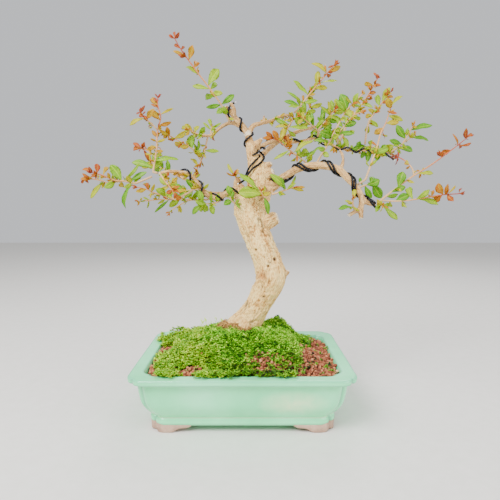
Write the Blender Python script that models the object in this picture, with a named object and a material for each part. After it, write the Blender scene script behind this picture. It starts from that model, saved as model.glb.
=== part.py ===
"""A pomegranate bonsai in its glazed stoneware pot, modelled in real millimetres.

The tree leans and bends above a low rectangular pot with indented corners. Its routes are given as they
appear from the front: millimetres across and up in the plane of the trunk, and millimetres back from that
plane. A point that lies nearer or further is moved along its line of sight, so the front view stays true.
X runs to the right, Y to the back and Z up, from the ground under the middle of the pot. At the end all is
moved so that the origin lies under the middle of the whole object.
"""

import math
import random

import bmesh
import bpy
import numpy as np
from mathutils import Matrix, Vector
from mathutils.bvhtree import BVHTree

MM = 0.001
GAP = 0.35

# The viewer's eye: right of the pot's middle, in front of the trunk, above the ground
EYE = Vector((10.0, -677.5, 301.0))
# The trunk stands behind the pot's middle, and heights in the routes are measured from a level below the glaze
TRUNK_PLANE = 21.5
ROUTE_LEVEL = 11.0
TO_TRUNK = TRUNK_PLANE - EYE.y

# Pot
RIM_HALF_X = 150.0
RIM_HALF_Y = 117.0
POT_HEIGHT = 81.0
NOTCH_RUN = 24.0
NOTCH_DEPTH = 8.0
FOOT_DROP = 10.0
FOOT_WALL = 11.0
FOOT_REACH = 56.5
FOOT_INSET = 25.2
DRAIN_X = 62.0
DRAIN_RADIUS = 10.0
FLOOR_TOP = 20.0
FLOOR_UNDER = 12.0

# Soil and what grows on it
SOIL_EDGE = 75.0
SOIL_RISE = 33.0
TRUNK_FOOT = (-2.0, 22.5)
MOSS_THICK = 9.0

# Leaf and shoot
BLADE_THICK = 0.9
SHOOT_RADIUS = 1.35
TIP_RADIUS = 0.8
STEM_STEP = 21.0
STEM_GAP = 0.33
WIRE_RADIUS = 1.5
WIRE_STEP = 4.0
WIRE_SIDES = 5


def spot(across, up, back):
    """The place in space of a point seen from the front, moved back along its line of sight."""
    spread = 1 + back / TO_TRUNK
    rise = up + ROUTE_LEVEL - EYE.z
    return Vector((EYE.x + (across - EYE.x) * spread, TRUNK_PLANE + back, EYE.z + rise * spread))


def clear_scene():
    for old in list(bpy.data.objects):
        bpy.data.objects.remove(old)


def finish(name, colour, roughness, metallic=0.0):
    """A plain surface finish with its colour, roughness and metallic value."""
    made = bpy.data.materials.new(name)
    made.use_nodes = True
    shader = made.node_tree.nodes["Principled BSDF"]
    shader.inputs["Base Color"].default_value = (*colour, 1.0)
    shader.inputs["Roughness"].default_value = roughness
    shader.inputs["Metallic"].default_value = metallic
    made.diffuse_color = (*colour, 1.0)
    return made


def mesh_object(name, points, faces, look=None):
    """An object from points in millimetres and faces that already point outwards."""
    mesh = bpy.data.meshes.new(name)
    mesh.from_pydata([tuple(c * MM for c in p) for p in points], [], faces)
    mesh.update()
    made = bpy.data.objects.new(name, mesh)
    bpy.context.scene.collection.objects.link(made)
    if look:
        mesh.materials.append(look)
    return made


def bake_modifiers(obj):
    """Replaces the object's mesh by the one that its modifiers make."""
    graph = bpy.context.evaluated_depsgraph_get()
    mesh = bpy.data.meshes.new_from_object(obj.evaluated_get(graph))
    obj.modifiers.clear()
    obj.data = mesh


def boolean_all(target, others, operation):
    """Joins the others to the target, or cuts them from it, in one Boolean, and removes them."""
    if not others:
        return
    group = bpy.data.collections.new(target.name + "_operands")
    bpy.context.scene.collection.children.link(group)
    for other in others:
        group.objects.link(other)
        bpy.context.scene.collection.objects.unlink(other)
    step = target.modifiers.new(operation.lower(), "BOOLEAN")
    step.operation = operation
    step.operand_type = "COLLECTION"
    step.collection = group
    bake_modifiers(target)
    for other in others:
        bpy.data.objects.remove(other)
    bpy.data.collections.remove(group)


# Routes, tubes and rings


def curve_through(knots, step):
    """Points about a step apart on a smooth Catmull-Rom curve through the knots (x, y, z, radius)."""
    k = np.array(knots, float)
    k = np.vstack([2 * k[0] - k[1], k, 2 * k[-1] - k[-2]])
    found = []
    for a, b, c, d in zip(k, k[1:], k[2:], k[3:]):
        pieces = max(1, round(np.linalg.norm((c - b)[:3]) / step))
        for t in np.arange(pieces) / pieces:
            found.append(
                0.5 * (2 * b + (c - a) * t + (2 * a - 5 * b + 4 * c - d) * t**2
                       + (3 * b - a - 3 * c + d) * t**3)
            )
    return np.array([*found, k[-2]])


def placed(knots):
    """Knots (across, up, back, radius) as points in space with their radius."""
    return [(*spot(a, u, b), r) for a, u, b, r in knots]


def frames_along(points):
    """A tangent and two crossing directions at each point, carried along without twist."""
    tangents = np.gradient(points, axis=0)
    tangents /= np.linalg.norm(tangents, axis=1)[:, None]
    side = np.cross(tangents[0], (0.31, 0.93, 0.2))
    frames = []
    for t in tangents:
        side = side - t * side.dot(t)
        side /= np.linalg.norm(side)
        frames.append((t, side, np.cross(t, side)))
    return frames


def tube_shape(route, sides, lumps=0.0, seed=0):
    """Points and faces of a closed tube of rings round a route. Lumps only ever press the surface in."""
    rng = random.Random(seed)
    frames = frames_along(route[:, :3])
    points = []
    for row, (_, u, v) in zip(route, frames):
        for j in range(sides):
            angle = 2 * math.pi * j / sides
            r = row[3] * (1 - lumps * rng.random())
            points.append(tuple(row[:3] + r * (math.cos(angle) * u + math.sin(angle) * v)))
    rings = len(route)
    faces = []
    for i in range(rings - 1):
        for j in range(sides):
            a, b = i * sides + j, i * sides + (j + 1) % sides
            faces.append((a, b, b + sides))
            faces.append((a, b + sides, a + sides))
    faces.append(tuple(range(sides))[::-1])
    faces.append(tuple(range((rings - 1) * sides, rings * sides)))
    return points, faces


# The pot


def outline(half_x, half_y, run=NOTCH_RUN, depth=NOTCH_DEPTH, arc_steps=3):
    """A rectangle whose four sides end in round shoulders that meet in a crease at each corner.

    A shoulder is an arc that leaves the side run millimetres before the corner and ends at the crease,
    which lies depth millimetres in from both sides.
    """
    radius = (depth**2 + (run - depth) ** 2) / (2 * depth)
    sweep = math.atan2(run - depth, radius - depth)
    corner = []
    for i in range(arc_steps + 1):
        a = sweep * i / arc_steps
        corner.append((half_x - radius + radius * math.cos(a), half_y - run + radius * math.sin(a)))
    for i in range(arc_steps - 1, -1, -1):
        a = sweep * i / arc_steps
        corner.append((half_x - run + radius * math.sin(a), half_y - radius + radius * math.cos(a)))
    quarters = []
    for sx, sy in ((1, 1), (-1, 1), (-1, -1), (1, -1)):
        turned = [(sx * x, sy * y) for x, y in corner]
        quarters.extend(turned if sx * sy > 0 else turned[::-1])
    return quarters


# Height, and inset from the rim, of the pot's outside from the top down, then of its inside
POT_OUTSIDE = (
    (81.0, 1.5), (79.5, 0.0), (73.6, 0.4), (71.2, 9.6), (53.0, 11.6), (39.0, 14.4), (27.6, 20.4),
    (21.2, 26.0), (18.6, 24.2), (12.8, 24.2), (9.6, 26.2),
)
POT_UNDERSIDE = (FLOOR_UNDER, 42.0)
POT_INSIDE = ((FLOOR_TOP, 38.0), (25.5, 31.0), (38.0, 25.2), (77.0, 19.6), (81.0, 18.0))


def ring_at(height, inset, run=NOTCH_RUN, depth=NOTCH_DEPTH):
    return [(x, y, height) for x, y in outline(RIM_HALF_X - inset, RIM_HALF_Y - inset, run, depth)]


def loft(rings):
    """Points and faces of the closed skin through rings of equal length, capped at both ends."""
    n = len(rings[0])
    points = [p for ring in rings for p in ring]
    faces = [
        (i * n + j, (i + 1) * n + j, (i + 1) * n + (j + 1) % n, i * n + (j + 1) % n)
        for i in range(len(rings) - 1)
        for j in range(n)
    ]
    faces.append(tuple(range(n)))
    faces.append(tuple(range((len(rings) - 1) * n, len(rings) * n))[::-1])
    return points, faces


def foot_drop(distance):
    """How far the foot reaches below the skirt at a distance from its corner: full, then a low scroll."""
    knots = ((0.0, 0.55), (8.0, 0.7), (12.0, 1.0), (31.0, 1.0), (39.0, 0.48), (51.0, 0.4), (FOOT_REACH, 0.06))
    for (d0, s0), (d1, s1) in zip(knots, knots[1:]):
        if distance <= d1:
            return FOOT_DROP * (s0 + (s1 - s0) * (distance - d0) / (d1 - d0))
    return 0.0


def foot_shape(sx, sy):
    """A corner foot: a strip that follows the skirt round one corner, with a scrolled lower edge."""
    half_x = RIM_HALF_X - FOOT_INSET
    half_y = RIM_HALF_Y - FOOT_INSET
    half_side = [(0.0, d, FOOT_WALL, d, d) for d in (FOOT_REACH, 51.0, 39.0, 31.0, NOTCH_RUN)]
    half_side += [(0.8, 17.0, 12.5, 21.5, 17.0), (2.6, 12.0, 15.0, 20.0, 12.0)]
    path = [*half_side, (8.0, 8.0, 18.5, 18.5, 8.0)]
    path += [(b, a, d, c, e) for a, b, c, d, e in half_side[::-1]]
    points = []
    for out_x, out_y, in_x, in_y, distance in path:
        low = max(0.0, FOOT_DROP - foot_drop(distance))
        slant_x, slant_y = (in_x - out_x) * 0.12, (in_y - out_y) * 0.12
        points.extend((
            (sx * (half_x - out_x), sy * (half_y - out_y), 13.0),
            (sx * (half_x - out_x - slant_x), sy * (half_y - out_y - slant_y), low),
            (sx * (half_x - in_x), sy * (half_y - in_y), low),
            (sx * (half_x - in_x), sy * (half_y - in_y), 13.0),
        ))
    faces = []
    for i in range(len(path) - 1):
        for j in range(4):
            faces.append((i * 4 + j, i * 4 + (j + 1) % 4, (i + 1) * 4 + (j + 1) % 4, (i + 1) * 4 + j))
    last = (len(path) - 1) * 4
    faces.append((3, 2, 1, 0))
    faces.append((last, last + 1, last + 2, last + 3))
    return points, faces


def make_pot(look):
    """Glazed bowl and unglazed feet, fired as one piece, with two drain holes."""
    rings = [ring_at(z, inset) for z, inset in POT_OUTSIDE]
    rings.append(ring_at(*POT_UNDERSIDE))
    inside = [ring_at(z, inset) for z, inset in POT_INSIDE]
    pot = mesh_object("pot", *loft(rings), look)
    hollow = mesh_object("hollow", *loft([ring_at(POT_HEIGHT + 4, POT_INSIDE[-1][1] - 1.6), *inside[::-1]]))
    face_out(pot)
    face_out(hollow)
    boolean_all(pot, [hollow], "DIFFERENCE")
    feet = []
    for sx in (-1, 1):
        for sy in (-1, 1):
            foot = mesh_object("foot", *foot_shape(sx, sy))
            face_out(foot)
            feet.append(foot)
    boolean_all(pot, feet, "UNION")
    drills = []
    for x in (-DRAIN_X, DRAIN_X):
        route = np.array([(x, 0.0, 2.0, DRAIN_RADIUS), (x, 0.0, 30.0, DRAIN_RADIUS)])
        drills.append(mesh_object("drill", *tube_shape(route, 14)))
    boolean_all(pot, drills, "DIFFERENCE")
    return pot


def face_out(obj):
    """Turns every face of a closed mesh outwards."""
    work = bmesh.new()
    work.from_mesh(obj.data)
    bmesh.ops.recalc_face_normals(work, faces=work.faces)
    work.to_mesh(obj.data)
    work.free()


def keep_largest(obj):
    """Removes the crumbs that a cut has left loose."""
    work = bmesh.new()
    work.from_mesh(obj.data)
    left = set(work.verts)
    islands = []
    while left:
        stack = [left.pop()]
        island = set(stack)
        while stack:
            for edge in stack.pop().link_edges:
                for end in edge.verts:
                    if end in left:
                        left.discard(end)
                        island.add(end)
                        stack.append(end)
        islands.append(island)
    islands.sort(key=len)
    for island in islands[:-1]:
        bmesh.ops.delete(work, geom=list(island), context="VERTS")
    work.to_mesh(obj.data)
    work.free()


def make_drain_screen(name, x, look):
    """A square of plastic mesh that keeps the soil in over a drain hole."""
    half, thick, bar, cells = 15.0, 1.0, 3.0, 3
    bottom = FLOOR_TOP + GAP
    pitch = (2 * half - bar) / cells
    xs = []
    for i in range(cells + 1):
        xs.extend((-half + i * pitch, -half + i * pitch + bar))
    n = len(xs)
    work = bmesh.new()
    grid = [[work.verts.new(((x + xs[i]) * MM, xs[j] * MM, bottom * MM)) for j in range(n)] for i in range(n)]
    for i in range(n - 1):
        for j in range(n - 1):
            if i % 2 == 0 or j % 2 == 0:
                work.faces.new((grid[i][j], grid[i + 1][j], grid[i + 1][j + 1], grid[i][j + 1]))
    raised = bmesh.ops.extrude_face_region(work, geom=list(work.faces))
    tops = [v for v in raised["geom"] if isinstance(v, bmesh.types.BMVert)]
    bmesh.ops.translate(work, verts=tops, vec=(0, 0, thick * MM))
    bmesh.ops.recalc_face_normals(work, faces=work.faces)
    mesh = bpy.data.meshes.new(name)
    work.to_mesh(mesh)
    work.free()
    mesh.materials.append(look)
    made = bpy.data.objects.new(name, mesh)
    bpy.context.scene.collection.objects.link(made)
    return made


# Soil and ground cover, on one grid of rings round the trunk's foot

RINGS = (0.0, 0.17, 0.33, 0.48, 0.62, 0.75, 0.88, 1.0)
SOIL_INSET = 20.4
MOSS_HUMP = (47.0, 67.5, 9.0, 26.0)


def smooth_step(t):
    t = min(1.0, max(0.0, t))
    return t * t * (3 - 2 * t)


def soil_height(x, y):
    """The mound: level at the rim, rising quickly to a broad top, and lower on the right."""
    shares = abs(x) / (RIM_HALF_X - SOIL_INSET), abs(y) / (RIM_HALF_Y - SOIL_INSET)
    edge = max(0.0, 1 - (shares[0] ** 3 + shares[1] ** 3) ** (1 / 3))
    right = 1 - 0.6 * smooth_step((x - 25) / 80)
    return SOIL_EDGE + SOIL_RISE * smooth_step(edge / 0.68) * right


def fine_ring(inset):
    """The pot's outline at an inset, with its straight sides cut into short pieces."""
    rim = outline(RIM_HALF_X - inset, RIM_HALF_Y - inset)
    fine = []
    for (x0, y0), (x1, y1) in zip(rim, rim[1:] + rim[:1]):
        pieces = 7 if abs(x1 - x0) > 150 else 5 if abs(y1 - y0) > 90 else 1
        fine.extend((x0 + (x1 - x0) * i / pieces, y0 + (y1 - y0) * i / pieces) for i in range(pieces))
    return fine


def ground_grid():
    """Rings of points from the trunk's foot out to the pot's wall, as (x, y)."""
    cx, cy = TRUNK_FOOT
    return [[(cx + (x - cx) * s, cy + (y - cy) * s) for x, y in fine_ring(SOIL_INSET)] for s in RINGS]


def soil_surface(grid):
    """The soil's upper surface: the mound, roughened by its grains where it lies bare."""
    rng = random.Random(11)
    rows = []
    for k, ring in enumerate(grid):
        rough = 0.0 if k in (0, len(grid) - 1) else 1.3
        rows.append([(x, y, soil_height(x, y) + rough * rng.uniform(-1, 1)) for x, y in ring])
    return rows


def make_soil(rows, cutters, look):
    """One body of granules that fills the pot, with a plain hole for the trunk's foot."""
    points = [(TRUNK_FOOT[0], TRUNK_FOOT[1], rows[0][0][2])]
    points += [p for ring in rows[1:] for p in ring]
    n = len(rows[0])
    faces = [(0, 1 + j, 1 + (j + 1) % n) for j in range(n)]
    for i in range(len(rows) - 2):
        a, b = 1 + i * n, 1 + (i + 1) * n
        for j in range(n):
            faces.append((a + j, b + j, b + (j + 1) % n))
            faces.append((a + j, b + (j + 1) % n, a + (j + 1) % n))
    start = len(points)
    levels = 3
    for z, inset in POT_INSIDE[levels:0:-1]:
        points += [(x, y, z + GAP) for x, y in fine_ring(inset + GAP)]
    for i in range(levels):
        a = start - n + i * n
        b = a + n
        for j in range(n):
            faces.append((a + j, b + j, b + (j + 1) % n, a + (j + 1) % n))
    faces.append(tuple(range(start + (levels - 1) * n, start + levels * n))[::-1])
    soil = mesh_object("soil", points, faces, look)
    face_out(soil)
    boolean_all(soil, cutters, "DIFFERENCE")
    keep_largest(soil)
    return soil


def plants_at(x, y, ring):
    """What covers a cell of the ground's grid: moss round the trunk, creeping plants on the left and along
    the front rim, and nothing on the right, where the granules lie bare."""
    bearing = abs(math.degrees(math.atan2(y - TRUNK_FOOT[1], x - TRUNK_FOOT[0])))
    if ring >= (4 if bearing < 36 else 5 if bearing < 58 else 9):
        return None
    if (bearing > 128 and ring >= 3) or (y < 0 and ring >= 5):
        return "creeping_plants"
    return "moss" if ring < 6 else None


def moss_height(x, y, ring):
    """Full height inside and thin at the mat's edge, with a hump behind the trunk."""
    hx, hy, rise, reach = MOSS_HUMP
    hump = rise * math.exp(-((x - hx) ** 2 + (y - hy) ** 2) / reach**2)
    return MOSS_THICK * (1 - 0.5 * smooth_step((ring - 3) / 3)) + hump


def creeper_height(x, y, ring):
    return 12.0 - 6.0 * smooth_step((ring - 4.5) / 2.5)


def make_cover(name, rows, height, cutters, seed, look):
    """A mat on its cells of the ground's grid, raised in tufts, a small gap clear of its neighbours."""
    rng = random.Random(seed)
    n = len(rows[0])
    work = bmesh.new()
    low = {}

    def vertex(ring, j):
        key = (ring, j % n if ring else 0)
        if key not in low:
            x, y, z = rows[ring][key[1]]
            low[key] = work.verts.new((x * MM, y * MM, (z + GAP) * MM))
        return low[key]

    for j in range(n):
        for ring in range(len(rows) - 1):
            corners = rows[ring][j], rows[ring + 1][j], rows[ring + 1][(j + 1) % n]
            x, y, _ = np.mean(corners, axis=0)
            if plants_at(x, y, ring) != name:
                continue
            inner, outer, outer_next = vertex(ring, j), vertex(ring + 1, j), vertex(ring + 1, j + 1)
            work.faces.new((inner, outer, outer_next))
            if ring:
                work.faces.new((inner, outer_next, vertex(ring, j + 1)))
    edging = bmesh.ops.inset_region(work, faces=list(work.faces), thickness=0.4 * MM, use_boundary=True)
    bmesh.ops.delete(work, geom=edging["faces"], context="FACES")
    loose = [v for v in work.verts if not v.link_faces]
    bmesh.ops.delete(work, geom=loose, context="VERTS")
    raised = bmesh.ops.extrude_face_region(work, geom=list(work.faces))
    for top in sorted((v for v in raised["geom"] if isinstance(v, bmesh.types.BMVert)), key=lambda v: v.index):
        x, y = top.co.x / MM, top.co.y / MM
        ring = (len(rows) - 1) * max(abs(x) / RIM_HALF_X, abs(y) / RIM_HALF_Y) * 1.15
        top.co.z += height(x, y, ring) * rng.uniform(0.6, 1.15) * MM
    bmesh.ops.recalc_face_normals(work, faces=work.faces)
    mesh = bpy.data.meshes.new(name)
    work.to_mesh(mesh)
    work.free()
    mesh.materials.append(look)
    mat = bpy.data.objects.new(name, mesh)
    bpy.context.scene.collection.objects.link(mat)
    boolean_all(mat, cutters, "DIFFERENCE")
    keep_largest(mat)
    return mat


# Wood: each limb is a row of knots (across, up, back, radius)

TRUNK = (
    (-13, 66, 3, 20), (-9, 84, 2, 25), (-3, 98, 1, 25.5), (6, 112, 0, 21.5), (18, 129, -3, 19.6),
    (30, 152, -6, 19.8), (42, 181, -8, 22.6), (35, 209, -6, 20.6), (25, 233, -3, 20.4),
    (18, 252, 0, 21.2), (13, 270, 2, 23), (9, 287, 3, 23.6), (7, 300, 4, 20), (6, 307, 4, 13),
)
LIMBS = {
    "leader": ((19, 292, 2, 19), (24, 316, 2, 19), (24, 334, 3, 17), (19, 350, 4, 12.5), (14, 362, 5, 8.6),
               (12, 374, 6, 8), (9, 385, 7, 6), (7, 395, 8, 5.2)),
    "bend_burl": ((44, 182, -8, 17), (57, 185, -9, 10), (66, 187, -9, 4.5)),
    "knob": ((26, 262, -2, 14), (36, 265, -5, 12), (46, 269, -8, 11), (53, 271, -9, 7)),
    "leader_knob": ((28, 332, 0, 13), (38, 336, -4, 10), (46, 339, -6, 6)),
    "upper_snag": ((26, 342, 2, 10), (35, 348, 0, 6.5), (43, 352, -2, 3)),
    "fork_snag": ((13, 372, 6, 6.5), (20, 380, 4, 5.6), (28, 388, 2, 2.2)),
    "left_snag": ((0, 303, 2, 15), (-6, 314, 0, 9), (-9, 325, -2, 5.5), (-7, 331, -2, 3)),
    "right_snag": ((32, 311, -8, 9), (44, 315, -16, 6), (56, 320, -20, 2.2)),
    "apex_arm": ((7, 393, 8, 5), (-1, 407, 8, 4.4), (-11, 417, 9, 4.2), (-21, 430, 10, 3.6),
                 (-27, 435, 10, 2.4)),
    "apex_snag": ((-13, 419, 9, 3.6), (-14, 432, 4, 3), (-20, 441, 2, 1.8)),
    "left_upper": ((2, 402, 8, 3.7), (-8, 408, 11, 3.3), (-20, 411, 16, 3.1), (-34, 404, 20, 2.8),
                   (-46, 394, 22, 2.6), (-56, 392, 20, 2.2), (-72, 395, 14, 1.8)),
    "right_upper": ((7, 393, 8, 4.3), (14, 406, 12, 3.8), (25, 410, 20, 3.3), (41, 414, 34, 2.9),
                    (57, 421, 48, 2.4), (73, 423, 58, 1.9)),
    "spike": ((30, 411, 24, 3), (31, 422, 24, 1.2)),
    "left_low": ((6, 304, 2, 9.8), (-10, 312, -3, 6.6), (-25, 307, -10, 4.9), (-38, 302, -16, 4.4),
                 (-50, 302, -22, 3.8), (-63, 314, -28, 3.4), (-71, 326, -34, 3.1), (-82, 336, -39, 2.9),
                 (-95, 339, -43, 2.5), (-112, 340, -46, 2.3), (-126, 337, -47, 2)),
    "middle": ((12, 364, 5, 4.4), (24, 375, 14, 3.7), (40, 383, 30, 3.3), (58, 384, 46, 3),
               (74, 383, 58, 2.8), (90, 385, 66, 2.7), (106, 388, 70, 2.6), (129, 380, 66, 2.4),
               (156, 371, 56, 2.2), (178, 371, 46, 1.9), (204, 370, 36, 1.8), (228, 363, 28, 1.5)),
    "low_right": ((20, 312, 0, 8.8), (36, 318, -10, 6.4), (48, 324, -20, 5.6), (61, 332, -30, 5.3),
                  (78, 342, -40, 5.2), (94, 347, -47, 5.1), (111, 349, -53, 5.1), (128, 347, -59, 5),
                  (144, 342, -64, 4.9), (155, 331, -68, 4.6), (168, 318, -72, 4.3), (175, 308, -74, 4.2),
                  (178, 296, -76, 3.9), (177, 284, -77, 3.8), (178, 269, -78, 2.9)),
    "low_stub": ((177, 285, -77, 3.2), (168, 280, -78, 2.9), (158, 274, -80, 2.6)),
    "low_turn": ((176, 304, -75, 3.7), (186, 294, -76, 3.5), (200, 290, -77, 2.7)),
    "upright": ((144, 342, -64, 3.4), (149, 354, -56, 2.3), (147, 366, -50, 2), (143, 372, -47, 1.7)),
    "back_right": ((16, 352, 10, 8), (30, 366, 36, 4.6), (52, 384, 66, 3.8), (80, 398, 92, 3.2),
                   (108, 406, 112, 2.4)),
    "back_left": ((0, 304, 12, 10), (-24, 306, 40, 5), (-52, 308, 66, 3.8), (-82, 326, 88, 3),
                  (-106, 338, 104, 2.2)),
}
ROOTS = {
    "root_left": ((-4, 112, -2, 14), (-20, 101, -6, 11), (-32, 86, -9, 7)),
    "root_front": ((2, 112, -8, 13), (0, 99, -20, 10), (-3, 84, -27, 7)),
    "root_right": ((10, 112, -2, 13), (20, 98, -5, 10), (27, 84, -7, 7)),
}


def limb_sides(radius):
    return 5 if radius < 5.0 else 6 if radius < 9 else 8


def wood_shapes(grow=0.0, only=None):
    """Each limb of the tree as a tube, thicker all round by grow. The trunk's foot flares."""
    shapes = {"trunk": tube_shape(grown(curve_through(placed(TRUNK), 15.0), grow), 14, 0.07, 3)}
    for name, knots in {**LIMBS, **ROOTS}.items():
        widest = max(k[3] for k in knots[1:])
        route = grown(curve_through(placed(knots), max(12.0, 0.9 * widest)), grow)
        shapes[name] = tube_shape(route, limb_sides(widest), 0.08, len(name))
    return {name: shape for name, shape in shapes.items() if not only or name in only}


def grown(route, amount):
    """The route of a tube that is larger than this route's tube by an amount, at its ends too."""
    route = route.copy()
    route[:, 3] += amount
    for end, inner in ((0, 1), (-1, -2)):
        outward = route[end, :3] - route[inner, :3]
        route[end, :3] += outward / np.linalg.norm(outward) * amount
    return route


# Training wires: each winds round a route made of parts of limbs

WIRES = {
    "wire_apex": (("leader", 4, 8), ("apex_arm", 1, 4), -0.42, 3.0, 2.4),
    "wire_middle": (("leader", 2, 4), ("middle", 1, 8), 0.1, 4.0, 1.9),
    "wire_low_right_a": (("low_right", 1, 12), ("low_turn", 1, 3), 0.25, 4.6, 4.2),
    "wire_low_right_b": (("low_right", 1, 12), ("low_turn", 1, 3), 0.25, 4.6, 3.3),
    "wire_low_left": (("left_low", 1, 9), None, 0.0, 3.6, 0.6),
}


def wire_route(first, second, turn_offset, turns, start):
    """A helix that keeps to the limbs' surface, a wire's radius clear of the bark."""
    knots = list(placed(LIMBS[first[0]][first[1]:first[2]]))
    if second:
        knots += list(placed(LIMBS[second[0]][second[1]:second[2]]))
    core = curve_through(knots, WIRE_STEP)
    frames = frames_along(core[:, :3])
    count = len(core)
    made = []
    for i, (row, (_, u, v)) in enumerate(zip(core, frames)):
        angle = start + 2 * math.pi * turns * i / (count - 1) + turn_offset
        reach = row[3] + WIRE_RADIUS + GAP + 0.25
        made.append((*(row[:3] + reach * (math.cos(angle) * u + math.sin(angle) * v)), WIRE_RADIUS))
    return np.array(made)


def make_trunk(wires, look):
    """Trunk, limbs, snags and root flare, grown as one piece. Wires that press on the bark lie in a groove."""
    parts = [mesh_object(name, *shape) for name, shape in wood_shapes().items()]
    trunk = parts[0]
    trunk.name = "trunk"
    trunk.data.materials.append(look)
    boolean_all(trunk, parts[1:], "UNION")
    grooves = [mesh_object("groove", *tube_shape(grown(route, GAP), WIRE_SIDES)) for route in wires.values()]
    boolean_all(trunk, grooves, "DIFFERENCE")
    return trunk


# Leafy shoots. Each has its stems, as rows of (across, up, back) of which the first starts on the wood and
# the others on the first, and its leaves, as (stem, share of the stem's length, across and up of the tip, width)

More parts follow.
